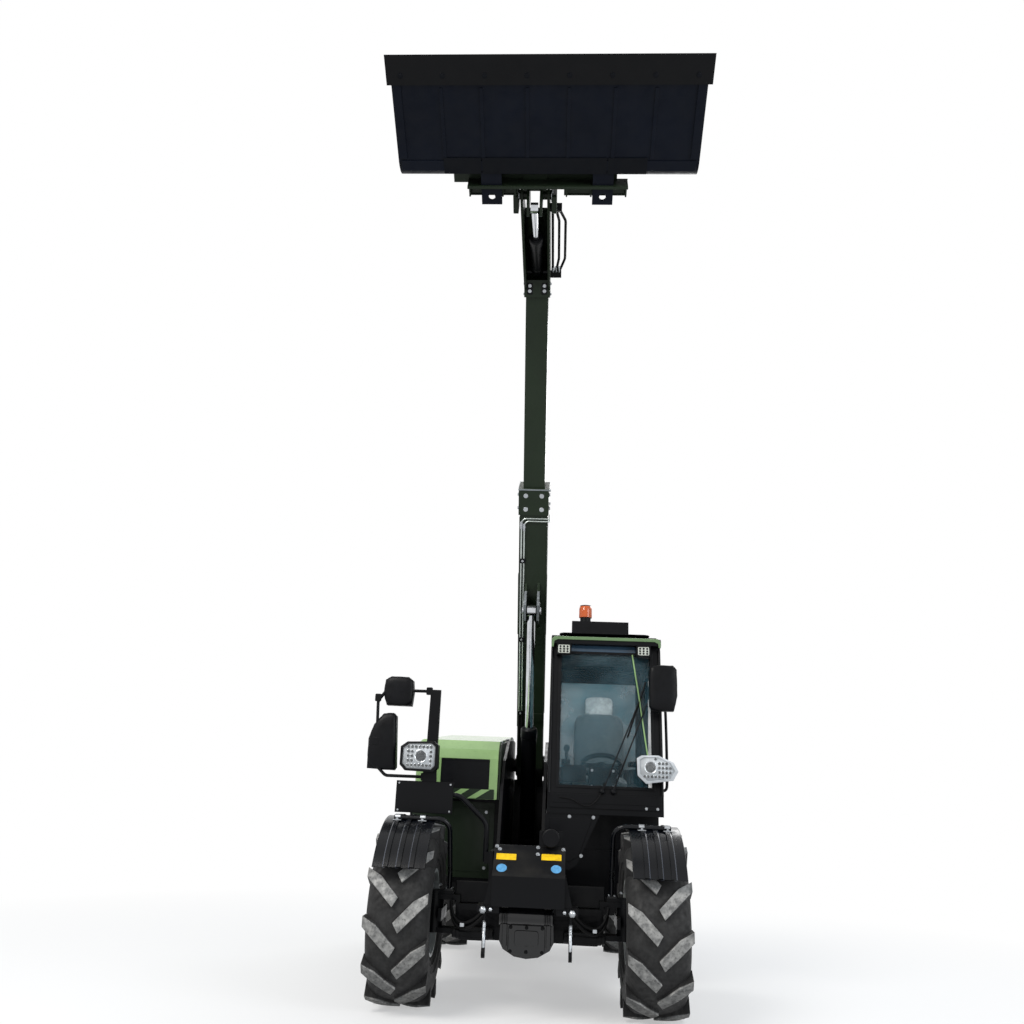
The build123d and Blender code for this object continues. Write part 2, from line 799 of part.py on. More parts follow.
with BuildPart() as roof:
    with BuildSketch(side_plane(cab_inner_x)):
        with BuildLine():
            Polyline(
                (cab_front + 90, cab_eaves + fit_gap),
                (cab_front + 90, roof_rim - 20),
                (cab_front + 115, roof_rim),
                (cab_front + 400, roof_rim),
                (cab_front + 460, roof_top),
                (cab_rear - 80, roof_top),
                (cab_rear + 10, roof_rim),
                (cab_rear + 30, cab_eaves + fit_gap),
                close=True,
            )
        make_face()
    extrude(amount=cab_outer_x - cab_inner_x)
save(roof.part, "cab_roof")

# panes sit in the middle of their walls
with BuildPart() as screen:
    with BuildSketch(Plane.YZ.offset(cab_inner_x + 85 + fit_gap)):
        with BuildLine():
            low_y = front_axle_y + screen_y(1560) + 15
            high_y = front_axle_y + screen_y(cab_eaves - 70) + 15
            Polyline(
                (low_y, 1560 + fit_gap),
                (high_y, cab_eaves - 70 - fit_gap),
                (high_y + glass, cab_eaves - 70 - fit_gap),
                (low_y + glass, 1560 + fit_gap),
                close=True,
            )
        make_face()
    extrude(amount=cab_outer_x - cab_inner_x - 170 - 2 * fit_gap)
save(screen.part, "windscreen")

with BuildPart() as panes:
    with BuildSketch(Plane.XZ.offset(-(front_axle_y + cab_rear - 20))):
        with Locations(((cab_inner_x + cab_outer_x) / 2, 2150)):
            Rectangle(cab_outer_x - cab_inner_x - 200 - 2 * fit_gap, 820 - 2 * fit_gap)
    extrude(amount=glass)
    with BuildSketch(side_plane(cab_inner_x + 20)):
        with BuildLine():
            Polyline(
                (cab_front + 120, 1560),
                (cab_front + 265, cab_eaves - 90),
                (cab_rear - 130, cab_eaves - 90),
                (cab_rear - 130, 1560),
                close=True,
            )
        make_face()
        offset(amount=-fit_gap)
    extrude(amount=glass)
save(panes.part, "cab_windows")

door_gap = 6.0
with BuildPart() as door:
    with BuildSketch(side_plane(cab_outer_x - 40)):
        with BuildLine():
            Polyline(
                (door_front - 40, 1430),
                (door_front + 120, door_high),
                (door_rear, door_high),
                (door_rear, door_low),
                (door_front + 300, door_low),
                (door_front + 300, 1380),
                close=True,
            )
        make_face()
        offset(amount=-door_gap)
    extrude(amount=40)
    with BuildSketch(side_plane(cab_outer_x - 60)):
        with BuildLine():
            Polyline(
                (door_front + 60, 1480),
                (door_front + 190, door_high - 70),
                (door_rear - 70, door_high - 70),
                (door_rear - 70, 1480),
                close=True,
            )
        make_face()
    extrude(amount=100, mode=Mode.SUBTRACT)
    for level in hinge_levels:
        with BuildSketch(Plane.XY.offset(level)):
            with Locations((hinge_x, hinge_y)):
                Circle(hinge_radius)
            with BuildLine():
                Polyline(
                    (cab_outer_x - 8, hinge_y - 60),
                    (cab_outer_x - 8, hinge_y - 16),
                    (cab_outer_x + 1, hinge_y - 16),
                    (cab_outer_x + 1, hinge_y),
                    (hinge_x + hinge_radius, hinge_y),
                    (hinge_x + hinge_radius, hinge_y - 60),
                    close=True,
                )
            make_face()
        extrude(amount=hinge_leaf)
save(door.part, "cab_door")

with BuildPart() as door_pane:
    with BuildSketch(side_plane(cab_outer_x - 24)):
        with BuildLine():
            Polyline(
                (door_front + 60, 1480),
                (door_front + 190, door_high - 70),
                (door_rear - 70, door_high - 70),
                (door_rear - 70, 1480),
                close=True,
            )
        make_face()
        offset(amount=-fit_gap)
    extrude(amount=glass)
save(door_pane.part, "door_window")

# seat, steering column and side console
floor_z = cab_floor + cab_wall
seat_x = (cab_inner_x + cab_outer_x) / 2
with BuildPart() as seat:
    with BuildSketch(side_plane(seat_x - 235)):
        with BuildLine():
            Polyline(
                (1340, floor_z + 380),
                (1320, floor_z + 470),
                (1720, floor_z + 450),
                (1800, floor_z + 1050),
                (1880, floor_z + 1050),
                (1840, floor_z + 350),
                close=True,
            )
        make_face()
    extrude(amount=470)
    with BuildSketch(Plane.XY.offset(floor_z + fit_gap)):
        with Locations((seat_x, front_axle_y + 1580)):
            Rectangle(380, 380)
    extrude(amount=380)
save(seat.part, "seat")

wheel_plane = Plane(
    origin=(seat_x, front_axle_y + 1180, floor_z + 640), x_dir=(1, 0, 0), z_dir=(0, 0.5, 0.87)
)
with BuildPart() as column:
    with BuildSketch(wheel_plane.offset(-15)):
        Circle(190)
        Circle(160, mode=Mode.SUBTRACT)
        Rectangle(330, 30)
        Circle(45)
    extrude(amount=30)
    with BuildSketch(wheel_plane.offset(-400)):
        Circle(38)
    extrude(amount=400)
    with BuildSketch(Plane.XY.offset(floor_z + fit_gap)):
        with Locations((seat_x, front_axle_y + 985)):
            Rectangle(260, 120)
    extrude(amount=300)
save(column.part, "steering_column")

# ---------------------------------------------------------------- lights and mirrors
def front_plane(y):
    """Upright plane across the machine, y behind the front axle; it extrudes forward."""
    return Plane.XZ.offset(-(front_axle_y + y))


pod_low = cab_eaves - 98
pod_front = cab_front + 84
bar_z = roof_top + 28
with BuildPart() as lamps:
    # a work lamp's pod in each upper corner of the windscreen, under the roof's rim
    for left_x, width in ((cab_inner_x + 47, 124), (cab_outer_x - 209, 119)):
        with BuildSketch(side_plane(left_x)):
            with BuildLine():
                Polyline(
                    (pod_front, pod_low),
                    (pod_front, cab_eaves - 2),
                    (screen_y(cab_eaves - 2) - fit_gap, cab_eaves - 2),
                    (screen_y(pod_low) - fit_gap, pod_low),
                    close=True,
                )
            make_face()
        extrude(amount=width)
    # light bar on two feet, with the beacon on it
    with BuildSketch(Plane.XY.offset(roof_top + fit_gap)):
        with Locations((330, front_axle_y + 1000), (750, front_axle_y + 1000)):
            Rectangle(40, 60)
    extrude(amount=30)
    with BuildSketch(Plane.XY.offset(bar_z)):
        with Locations((538, front_axle_y + 1000)):
            Rectangle(510, 110)
    extrude(amount=112)
    with BuildSketch(Plane.XY.offset(bar_z + 112)):
        with Locations((405, front_axle_y + 1000)):
            Circle(48)
    extrude(amount=44)
    with BuildSketch(Plane.XY.offset(bar_z + 156)):
        with Locations((405, front_axle_y + 1000)):
            Circle(58)
    extrude(amount=108, taper=4)
save(lamps.part, "roof_lights")

lamp_right = [
    (-1026, 1660), (-1026, 1795), (-975, 1832), (-770, 1840),
    (-735, 1812), (-733, 1645), (-765, 1612), (-985, 1618),
]
lamp_left = [
    (818, 1655), (812, 1788), (850, 1812), (982, 1816),
    (1102, 1766), (1141, 1698), (1100, 1627), (885, 1595),
]
carrier_y = 25.0              # the hood-side carrier's middle, behind the front axle
carrier_radius = 19.0
post_x = (-835.0, -755.0)
post_top = 2240.0
with BuildPart() as headlights:
    # hood side: hexagonal lamp, bolted plate, flat post, and the bent tube that carries them
    with BuildSketch(front_plane(carrier_y - 18)):
        with BuildLine():
            Polyline(*lamp_right, close=True)
        make_face()
    extrude(amount=90)
    with BuildSketch(front_plane(carrier_y - 16)):
        with Locations((-831, 1428)):
            Rectangle(440, 232)
    extrude(amount=14)
    with BuildSketch(front_plane(carrier_y + 20)):
        with Locations((sum(post_x) / 2, (1420 + post_top) / 2)):
            Rectangle(post_x[1] - post_x[0], post_top - 1420)
    extrude(amount=40)
    with BuildLine() as route:
        FilletPolyline(
            (-900, front_axle_y + carrier_y, 1450),
            (-560, front_axle_y + carrier_y, 1450),
            (frame_x - plate_inner - 80, front_axle_y + carrier_y, 1260),
            (frame_x - plate_inner - 80, front_axle_y + carrier_y, 985),
            radius=110,
        )
    with BuildSketch(Plane(origin=route.line @ 0, z_dir=route.line % 0)):
        Circle(carrier_radius)
    sweep(path=route.line)
    with BuildSketch(Plane.XY.offset(975)):
        with Locations((frame_x - plate_inner - frame_plate - fit_gap - 30, front_axle_y + carrier_y)):
            Rectangle(60, 80)
    extrude(amount=80)
save(headlights.part, "headlight_right")

with BuildPart() as headlight:
    with BuildSketch(front_plane(400)):
        with BuildLine():
            Polyline(*lamp_left, close=True)
        make_face()
    extrude(amount=90)
    with BuildSketch(front_plane(screen_y(1660) - fit_gap)):
        with Locations((995, 1700)):
            Rectangle(70, 80)
    extrude(amount=screen_y(1660) - 400)
save(headlight.part, "headlight_left")

# hood-side mirrors: a long one and a wide-angle one on a looped tube between the post's ends
long_mirror = [
    (-1300, 1625), (-1306, 1850), (-1270, 1960), (-1200, 2045),
    (-1120, 2052), (-1098, 2030), (-1075, 1640), (-1090, 1617),
]
wide_mirror = [
    (-1215, 2200), (-1205, 2310), (-1160, 2338), (-1020, 2336),
    (-985, 2310), (-975, 2220), (-985, 2110), (-1183, 2112),
]
with BuildPart() as mirrors:
    for outline in (long_mirror, wide_mirror):
        with BuildSketch(front_plane(carrier_y + 80)):
            with BuildLine():
                Polyline(*outline, close=True)
            make_face()
        extrude(amount=72)
    with BuildLine() as route:
        FilletPolyline(
            (post_x[0] - fit_gap, front_axle_y + carrier_y, 1576),
            (-1150, front_axle_y + carrier_y, 1576),
            (-1228, front_axle_y + carrier_y, 1650),
            (-1252, front_axle_y + carrier_y, 2140),
            (-1190, front_axle_y + carrier_y, 2228),
            (post_x[0] - fit_gap, front_axle_y + carrier_y, 2228),
            radius=55,
        )
    with BuildSketch(Plane(origin=route.line @ 0, z_dir=route.line % 0)):
        Circle(12)
    sweep(path=route.line)
save(mirrors.part, "mirror_right")

side_mirror = [
    (925, 2215), (922, 2500), (950, 2545), (1120, 2548),
    (1150, 2515), (1153, 2300), (1123, 2175), (945, 2172),
]
with BuildPart() as door_mirror:
    with BuildSketch(front_plane(470)):
        with BuildLine():
            Polyline(*side_mirror, close=True)
        make_face()
    extrude(amount=72)
    with BuildSketch(front_plane(screen_y(2346) - fit_gap)):
        with Locations((1000, 2360)):
            Circle(13)
    extrude(amount=screen_y(2346) - 468)
save(door_mirror.part, "mirror_left")

# bolted panel ahead of the cab's floor, beside the frame
panel_left = frame_x + plate_inner + frame_plate + fit_gap
with BuildPart() as front_panel:
    with BuildSketch(front_plane(490)):
        with BuildLine():
            Polyline(
                (panel_left, cab_deck - fit_gap),
                (panel_left, 950),
                (panel_left + 200, 920),
                (panel_left + 260, 960),
                (panel_left + 440, cab_deck - fit_gap),
                close=True,
            )
        make_face()
    extrude(amount=20)
save(front_panel.part, "front_panel")

# ---------------------------------------------------------------- boom
half_outer = outer_width / 2
half_inner = inner_width / 2
with BuildPart() as outer:
    with BuildSketch(boom_plane(boom_x + half_outer)):
        with BuildLine():
            Polyline(
                (outer_rear, 110),
                (outer_rear + 60, outer_height / 2),
                (outer_front, outer_height / 2),
                (outer_front, -outer_height / 2),
                (500, -outer_height / 2),
                (80, -outer_height / 2 - 40),
                (outer_rear, -90),
                close=True,
            )
        make_face()
    extrude(amount=outer_width)
    with BuildSketch(boom_plane(boom_x + half_outer - outer_wall)):
        with Locations(((500 + outer_front) / 2 + 1, 0)):
            Rectangle(outer_front - 500 + 2, outer_height - 2 * outer_wall)
    extrude(amount=outer_width - 2 * outer_wall, mode=Mode.SUBTRACT)
    # pivot bore, and a bush each side
    with BuildSketch(boom_plane(boom_x + half_outer)):
        Circle(pin_radius + fit_gap)
    extrude(amount=outer_width, mode=Mode.SUBTRACT)
    # collar round the front end
    with BuildSketch(boom_plane(boom_x + half_outer + 12)):
        with Locations((outer_front - 125, 0)):
            Rectangle(250, outer_height + 26)
    extrude(amount=outer_width + 24)
    with BuildSketch(boom_plane(boom_x + half_inner + fit_gap)):
        with Locations((outer_front - 125, 0)):
            Rectangle(252, inner_height + 2 * fit_gap)
    extrude(amount=inner_width + 2 * fit_gap, mode=Mode.SUBTRACT)
    # lugs for the lift cylinder's pin
    for side in (-1, 1):
        with BuildSketch(boom_plane(boom_x + side * (lift_rod_radius + 12))):
            with BuildLine():
                Polyline(
                    (lift_pin_s - 230, -outer_height / 2 + 2),
                    (lift_pin_s - 75, lift_pin_u - 60),
                    (lift_pin_s + 75, lift_pin_u - 60),
                    (lift_pin_s + 230, -outer_height / 2 + 2),
                    close=True,
                )
            make_face()
        extrude(amount=-side * 22)
save(outer.part, "boom_outer")

# two pipes along the boom's underside, that cross under the collar, and their clamps
pipe_radius = 8.0
pipe_u = -outer_height / 2 - pipe_radius - fit_gap
pipe_foot = 650.0
pipe_side = 24.0              # the crossing's end stands this far off the boom's side
pipe_turn = outer_front - 285
with BuildPart() as pipes:
    for number in (0, 1):
        pipe_x = boom_x - half_outer + 18 + 26 * number
        turn_s = pipe_turn - 26 * number
        with BuildLine() as route:
            FilletPolyline(
                (pipe_x, *boom_point(pipe_foot, pipe_u)[1:]),
                (pipe_x, *boom_point(turn_s, pipe_u)[1:]),
                (boom_x + half_outer + pipe_side, *boom_point(turn_s, pipe_u)[1:]),
                (boom_x + half_outer + pipe_side, *boom_point(turn_s, pipe_u + 150)[1:]),
                radius=(50, pipe_side),
            )
        with BuildSketch(Plane(origin=route.line @ 0, z_dir=route.line % 0)):
            Circle(pipe_radius)
        sweep(path=route.line)
    for place in (pipe_foot + 20, 1450, 2250):
        with BuildSketch(boom_plane(boom_x - half_outer + 6 + 52)):
            with Locations((place, pipe_u)):
                Rectangle(40, 2 * pipe_radius)
        extrude(amount=52)
save(pipes.part, "boom_pipes")

with BuildPart() as pivot_pin:
    with BuildSketch(boom_plane(frame_x + plate_inner + frame_plate + 4)):
        Circle(pin_radius)
    extrude(amount=frame_inner + 2 * frame_plate + 8)
save(pivot_pin.part, "boom_pin")

with BuildPart() as inner:
    with BuildSketch(boom_plane(boom_x + half_inner)):
        with Locations(((inner_rear + inner_front) / 2, 0)):
            Rectangle(inner_front - inner_rear, inner_height)
    extrude(amount=inner_width)
    with BuildSketch(boom_plane(boom_x + half_inner - inner_wall)):
        with Locations(((inner_rear + inner_front) / 2 - 20, 0)):
            Rectangle(inner_front - inner_rear - 10, inner_height - 2 * inner_wall)
    extrude(amount=inner_width - 2 * inner_wall, mode=Mode.SUBTRACT)
    # head: a collar, two cheeks and the top plate that joins them
    with BuildSketch(boom_plane(boom_x + head_gap / 2 + cheek_plate)):
        with Locations((inner_front + 70, 0)):
            Rectangle(150, inner_height + 40)
    extrude(amount=head_gap + 2 * cheek_plate)
    cheek = [
        (inner_front + 60, 140),
        (inner_front + 250, 90),
        (head_reach - 60, -480),
        (head_reach + 85, head_drop * -1 + 60),
        (head_reach + 60, -head_drop - 75),
        (head_reach - 60, -head_drop - 75),
        (head_reach - 330, -head_drop + 260),
        (inner_front + 230, -380),
        (inner_front + 60, -140),
    ]
    for side in (-1, 1):
        with BuildSketch(boom_plane(boom_x + side * head_gap / 2)):
            with BuildLine():
                Polyline(*cheek, close=True)
            make_face()
        extrude(amount=-side * cheek_plate)
    with BuildSketch(boom_plane(boom_x + head_gap / 2 + 1)):
        with BuildLine():
            Polyline(
                (inner_front + 60, 138),
                (inner_front + 250, 88),
                (head_reach - 60, -482),
                (head_reach - 78, -470 - 26),
                (inner_front + 245, 66),
                (inner_front + 60, 116),
                close=True,
            )
        make_face()
    extrude(amount=head_gap + 2)
    with BuildSketch(boom_plane(boom_x + head_gap)):
        with Locations((tilt_base_s, tilt_base_u)):
            Circle(tilt_base_pin + fit_gap)
    extrude(amount=2 * head_gap, mode=Mode.SUBTRACT)
    # stub pins of the tool's pivot
    for side in (-1, 1):
        with BuildSketch(tool_plane(boom_x + side * (head_gap / 2 + cheek_plate + 14))):
            Circle(38)
        extrude(amount=side * (head_gap / 2 + cheek_plate + 14 - 40))
save(inner.part, "boom_inner")

# hoses down the cab's side of the head, between a bracket and a coupling block
hose_radius = 11.0
block_x = boom_x + head_gap / 2 + cheek_plate + fit_gap
with BuildPart() as hoses:
    for s, u in ((inner_front + 200, -60), (head_reach - 80, -head_drop + 170)):
        with BuildSketch(boom_plane(block_x + 95)):
            with Locations((s, u)):
                Rectangle(64, 70)
        extrude(amount=95)
    for number in range(3):
        hose_x = block_x + 20 + 27 * number
        swell = 26 * number
        with BuildLine() as route:
            FilletPolyline(
                (hose_x, *boom_point(inner_front + 215, -80)[1:]),
                (hose_x + swell, *boom_point(inner_front + 330, -200)[1:]),
                (hose_x + swell, *boom_point(head_reach - 170, -head_drop + 330)[1:]),
                (hose_x, *boom_point(head_reach - 90, -head_drop + 190)[1:]),
                radius=120,
            )
        with BuildSketch(Plane(origin=route.line @ 0, z_dir=route.line % 0)):
            Circle(hose_radius)
        sweep(path=route.line)
save(hoses.part, "hydraulic_hoses")

# ---------------------------------------------------------------- cylinders
lift_base = (boom_x, front_axle_y + lift_base_back, lift_base_z)
lift_eye = boom_point(lift_pin_s, lift_pin_u)
tilt_base = boom_point(tilt_base_s, tilt_base_u)
tilt_eye = tool_point(*tilt_arm)
# one row a cylinder: name, base, rod's eye, barrel's and rod's radius, barrel's length, the
# bore's bottom and the rod's inner end along the barrel, eye's radius, base pin's radius and half length
cylinders = [
    ("lift", lift_base, lift_eye, lift_barrel_radius, lift_rod_radius, lift_barrel_length,
     180, 1110, 55, lift_base_pin, plate_inner + frame_plate),
    ("tilt", tilt_base, tilt_eye, tilt_barrel_radius, tilt_rod_radius, tilt_barrel_length,
     150, 390, 42, tilt_base_pin, head_gap / 2 + cheek_plate),
]
for (name, base, eye, barrel_radius, rod_radius, barrel_length,
     bottom, inner_end, eye_radius, base_pin, pin_half) in cylinders:
    reach = (Vector(*eye) - Vector(*base)).length
    line = axis_plane(base, eye)
    eye_width = 2 * rod_radius + 4
    with BuildPart() as barrel:
        with BuildSketch(line.offset(eye_radius * 0.6)):
            Circle(barrel_radius)
        extrude(amount=barrel_length - eye_radius * 0.6)
        with BuildSketch(Plane(origin=(boom_x + eye_width / 2, base[1], base[2]), z_dir=(-1, 0, 0))):
            Circle(eye_radius)
        extrude(amount=eye_width)
        with BuildSketch(Plane(origin=(boom_x + pin_half, base[1], base[2]), z_dir=(-1, 0, 0))):
            Circle(base_pin)
        extrude(amount=2 * pin_half)
        with BuildSketch(line.offset(bottom)):
            Circle(rod_radius + fit_gap)
        extrude(amount=barrel_length, mode=Mode.SUBTRACT)
    save(barrel.part, f"{name}_barrel")
    with BuildPart() as rod:
        with BuildSketch(line.offset(inner_end)):
            Circle(rod_radius)
        extrude(amount=reach - inner_end)
        with BuildSketch(Plane(origin=(boom_x + eye_width / 2, eye[1], eye[2]), z_dir=(-1, 0, 0))):
            Circle(eye_radius)
        extrude(amount=eye_width)
    save(rod.part, f"{name}_rod")
    print(name, "cylinder: base", base, "eye", eye, "length", round(reach, 1))

# ---------------------------------------------------------------- carriage and bucket
rib_inner = 40.0
rib_plate = 20.0
beam_a = (60.0, heel_a - fit_gap)
beam_b = (-140.0, 30.0)
with BuildPart() as carriage:
    for side in (-1, 1):
        with BuildSketch(tool_plane(boom_x + side * rib_inner)):
            with BuildLine():
                Polyline(
                    (-55, 60),
                    (-80, -150),
                    (tilt_arm[0] - 50, tilt_arm[1] - 40),
                    (tilt_arm[0] + 50, tilt_arm[1] - 40),
                    (beam_a[1] - 70, beam_b[1] - 100),
                    (beam_a[1] - 70, beam_b[1]),
                    (60, 60),
                    close=True,
                )
            make_face()
            Circle(38 + fit_gap, mode=Mode.SUBTRACT)
        extrude(amount=-side * rib_plate)
    with BuildSketch(tool_plane(boom_x + 630)):
        with Locations(((beam_a[0] + beam_a[1]) / 2 + 30, (beam_b[1] - 45))):
            Rectangle(beam_a[1] - beam_a[0] - 60, 90)
    extrude(amount=1260)
    with BuildSketch(tool_plane(boom_x + 90)):
        with Locations((beam_a[1] - 65, beam_b[1] - 55)):
            Rectangle(130, 110)
    extrude(amount=180)
save(carriage.part, "carriage")

back_top = (heel_a + 90, bucket_top)
lip = (heel_a + 230, bucket_top + 40)
tip_a = heel_a + floor_length
with BuildPart() as bucket:
    with BuildSketch(tool_plane(bucket_width / 2)):
        with BuildLine():
            bend_inset = heel_radius * (1 - cos(radians(45)))
            bend = (heel_a + bend_inset, heel_b + bend_inset)
            Polyline((tip_a - 60, heel_b), (heel_a + heel_radius, heel_b))
            ThreePointArc((heel_a + heel_radius, heel_b), bend, (heel_a, heel_b + heel_radius))
            Polyline((heel_a, heel_b + heel_radius), back_top, lip)
            Line(lip, (tip_a - 60, heel_b))
        make_face()
    extrude(amount=bucket_width)
    # lugs under the carriage's beam, with a locking hole each
    for x in (-428, 420):
        with BuildSketch(tool_plane(x + 78)):
            with BuildLine():
                Polyline(
                    (0, heel_b + 2),
                    (heel_a + heel_radius - 20, heel_b + 2),
                    (heel_a + heel_radius - 20, heel_b + 28),
                    (0, heel_b + 28),
                    close=True,
                )
            make_face()
        extrude(amount=156)
        with BuildSketch(Plane(origin=tool_point(58, heel_b - 20), z_dir=tool_square, x_dir=(1, 0, 0))):
            with Locations((x - boom_x, 0)):
                Circle(26)
        extrude(amount=80, mode=Mode.SUBTRACT)
    with BuildSketch(tool_plane(bucket_width / 2 - 2 * bucket_plate)):
        with BuildLine():
            t = bucket_plate
            bend = (
                heel_a + heel_radius - (heel_radius - t) * cos(radians(45)),
                heel_b + heel_radius - (heel_radius - t) * sin(radians(45)),
            )
            Polyline((tip_a + 60, heel_b + t), (heel_a + heel_radius, heel_b + t))
            ThreePointArc((heel_a + heel_radius, heel_b + t), bend, (heel_a + t, heel_b + heel_radius))
            Polyline(
                (heel_a + t, heel_b + heel_radius),
                (back_top[0] + t, back_top[1] - 6),
                (lip[0] + 6, lip[1] - t),
                (lip[0] + 300, lip[1] + 100),
                (tip_a + 60, heel_b + t),
            )
        make_face()
    extrude(amount=bucket_width - 4 * bucket_plate, mode=Mode.SUBTRACT)
save(bucket.part, "bucket")

with BuildPart() as edge:
    with BuildSketch(tool_plane(edge_width / 2)):
        with BuildLine():
            Polyline(
                (tip_a, heel_b - edge_plate + 4),
                (tip_a - edge_length, heel_b - edge_plate - fit_gap),
                (tip_a - edge_length, heel_b - fit_gap),
                (tip_a - 30, heel_b - fit_gap),
                close=True,
            )
        make_face()
    extrude(amount=edge_width)
save(edge.part, "cutting_edge")
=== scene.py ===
# Telehandler with a raised boom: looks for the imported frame. Metres, in the part's own frame.
import math

import bmesh
import bpy
from mathutils import Matrix, Vector


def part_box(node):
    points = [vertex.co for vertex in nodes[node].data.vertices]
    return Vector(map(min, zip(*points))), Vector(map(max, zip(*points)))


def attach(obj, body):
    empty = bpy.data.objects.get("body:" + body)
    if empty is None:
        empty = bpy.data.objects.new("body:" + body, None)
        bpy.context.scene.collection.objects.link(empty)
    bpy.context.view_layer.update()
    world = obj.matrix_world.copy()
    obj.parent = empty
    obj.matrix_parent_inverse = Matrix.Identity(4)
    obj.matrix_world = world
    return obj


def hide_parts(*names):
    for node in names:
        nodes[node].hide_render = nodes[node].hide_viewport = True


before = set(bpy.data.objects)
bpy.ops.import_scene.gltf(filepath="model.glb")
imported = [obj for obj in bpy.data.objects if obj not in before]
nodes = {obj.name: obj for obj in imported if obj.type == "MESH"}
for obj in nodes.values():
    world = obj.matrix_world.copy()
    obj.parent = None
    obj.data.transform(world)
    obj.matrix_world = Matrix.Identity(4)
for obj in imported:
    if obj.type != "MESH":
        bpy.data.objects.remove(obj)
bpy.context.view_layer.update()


# ---------------------------------------------------------------- materials
def srgb(r, g, b):
    """A linear colour from 0-255 screen values."""
    def one(v):
        v /= 255
        return v / 12.92 if v <= 0.04045 else ((v + 0.055) / 1.055) ** 2.4
    return (one(r), one(g), one(b), 1.0)


class Shader:
    """A Principled material with helpers for its procedural inputs."""

    def __init__(self, name, **sockets):
        self.mat = bpy.data.materials.new(name)
        self.mat.use_nodes = True
        self.tree = self.mat.node_tree
        self.tree.nodes.clear()
        self.bsdf = self.node("ShaderNodeBsdfPrincipled")
        out = self.node("ShaderNodeOutputMaterial")
        self.link(self.bsdf.outputs[0], out.inputs[0])
        for key, value in sockets.items():
            self.bsdf.inputs[key.replace("_", " ")].default_value = value
        self.place = self.node("ShaderNodeTexCoord").outputs["Object"]

    def node(self, kind, **values):
        made = self.tree.nodes.new(kind)
        for key, value in values.items():
            setattr(made, key, value)
        return made

    def link(self, a, b):
        self.tree.links.new(a, b)

    def noise(self, scale, detail=3.0, stretch=None):
        made = self.node("ShaderNodeTexNoise")
        made.inputs["Scale"].default_value = scale
        made.inputs["Detail"].default_value = detail
        place = self.place
        if stretch:
            mapping = self.node("ShaderNodeMapping")
            mapping.inputs["Scale"].default_value = stretch
            self.link(place, mapping.inputs["Vector"])
            place = mapping.outputs[0]
        self.link(place, made.inputs["Vector"])
        return made.outputs["Fac"]

    def ramp(self, fac, low, high, a=0.0, b=1.0):
        """Maps fac from low..high to a..b, clamped."""
        made = self.node("ShaderNodeMapRange")
        for key, value in (("From Min", low), ("From Max", high), ("To Min", a), ("To Max", b)):
            made.inputs[key].default_value = value
        self.link(fac, made.inputs["Value"])
        return made.outputs[0]

    def mix(self, fac, a, b):
        """Colour a where fac is 0, b where it is 1; a and b are colours or sockets."""
        made = self.node("ShaderNodeMix", data_type="RGBA")
        self.link(fac, made.inputs["Factor"])
        for socket, value in ((made.inputs[6], a), (made.inputs[7], b)):
            if isinstance(value, bpy.types.NodeSocket):
                self.link(value, socket)
            else:
                socket.default_value = value
        return made.outputs[2]

    def math(self, operation, a, b):
        made = self.node("ShaderNodeMath", operation=operation)
        self.link(a, made.inputs[0])
        self.link(b, made.inputs[1])
        return made.outputs[0]

    def color(self, socket):
        self.link(socket, self.bsdf.inputs["Base Color"])

    def rough(self, socket):
        self.link(socket, self.bsdf.inputs["Roughness"])

    def bump(self, height, distance, strength=1.0):
        made = self.node("ShaderNodeBump")
        made.inputs["Distance"].default_value = distance
        made.inputs["Strength"].default_value = strength
        self.link(height, made.inputs["Height"])
        self.link(made.outputs[0], self.bsdf.inputs["Normal"])

    def upward(self, low, high):
        """1 on faces that look up."""
        split = self.node("ShaderNodeSeparateXYZ")
        self.link(self.node("ShaderNodeNewGeometry").outputs["Normal"], split.inputs[0])
        return self.ramp(split.outputs["Z"], low, high)


def shade(color, k):
    return (*(min(1.0, c * k) for c in color[:3]), 1.0)


def paint(name, color, rough=0.3, coat=0.15, dust=0.12, patch=2.2, shine=0.25):
    """Sprayed paint: broad tone drift, fine orange peel, a little dust on top."""
    s = Shader(name, Coat_Weight=coat, Coat_Roughness=0.12, Specular_IOR_Level=shine)
    drift = s.ramp(s.noise(patch, 5.0), 0.3, 0.7)
    base = s.mix(drift, shade(color, 0.82), shade(color, 1.16))
    spots = s.ramp(s.noise(38.0, 6.0), 0.56, 0.74, 0.0, 0.35)
    base = s.mix(spots, base, shade(color, 0.7))
    film = s.math("MULTIPLY", s.upward(0.2, 0.9), s.ramp(s.noise(7.0, 6.0), 0.35, 0.75, 0.0, dust))
    s.color(s.mix(film, base, srgb(150, 144, 130)))
    s.rough(s.ramp(s.noise(11.0, 4.0), 0.3, 0.7, rough * 0.8, rough * 1.3))
    s.bump(s.noise(900.0, 2.0), 0.00012, 0.35)
    return s.mat


def plastic(name, color, rough, grain=1400.0):
    """Moulded plastic with a fine leather grain and scuffs."""
    s = Shader(name, Specular_IOR_Level=0.14)
    s.color(s.mix(s.ramp(s.noise(6.0, 6.0), 0.35, 0.7), shade(color, 0.85), shade(color, 1.5)))
    s.rough(s.ramp(s.noise(24.0, 5.0), 0.3, 0.7, rough - 0.08, rough + 0.12))
    s.bump(s.noise(grain, 3.0), 0.0002, 0.5)
    return s.mat


def metal(name, color, rough, stretch=None, grain=500.0):
    """Bare metal with a brushed or turned grain."""
    s = Shader(name, Metallic=1.0)
    s.color(s.mix(s.ramp(s.noise(14.0, 5.0), 0.3, 0.7), shade(color, 0.8), shade(color, 1.1)))
    s.rough(s.ramp(s.noise(40.0, 4.0, stretch), 0.3, 0.7, rough * 0.7, rough * 1.4))
    s.bump(s.noise(grain, 2.0, stretch), 0.0001, 0.4)
    return s.mat


def wheel_centre(name):
    low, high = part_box(name)
    return (low + high) / 2


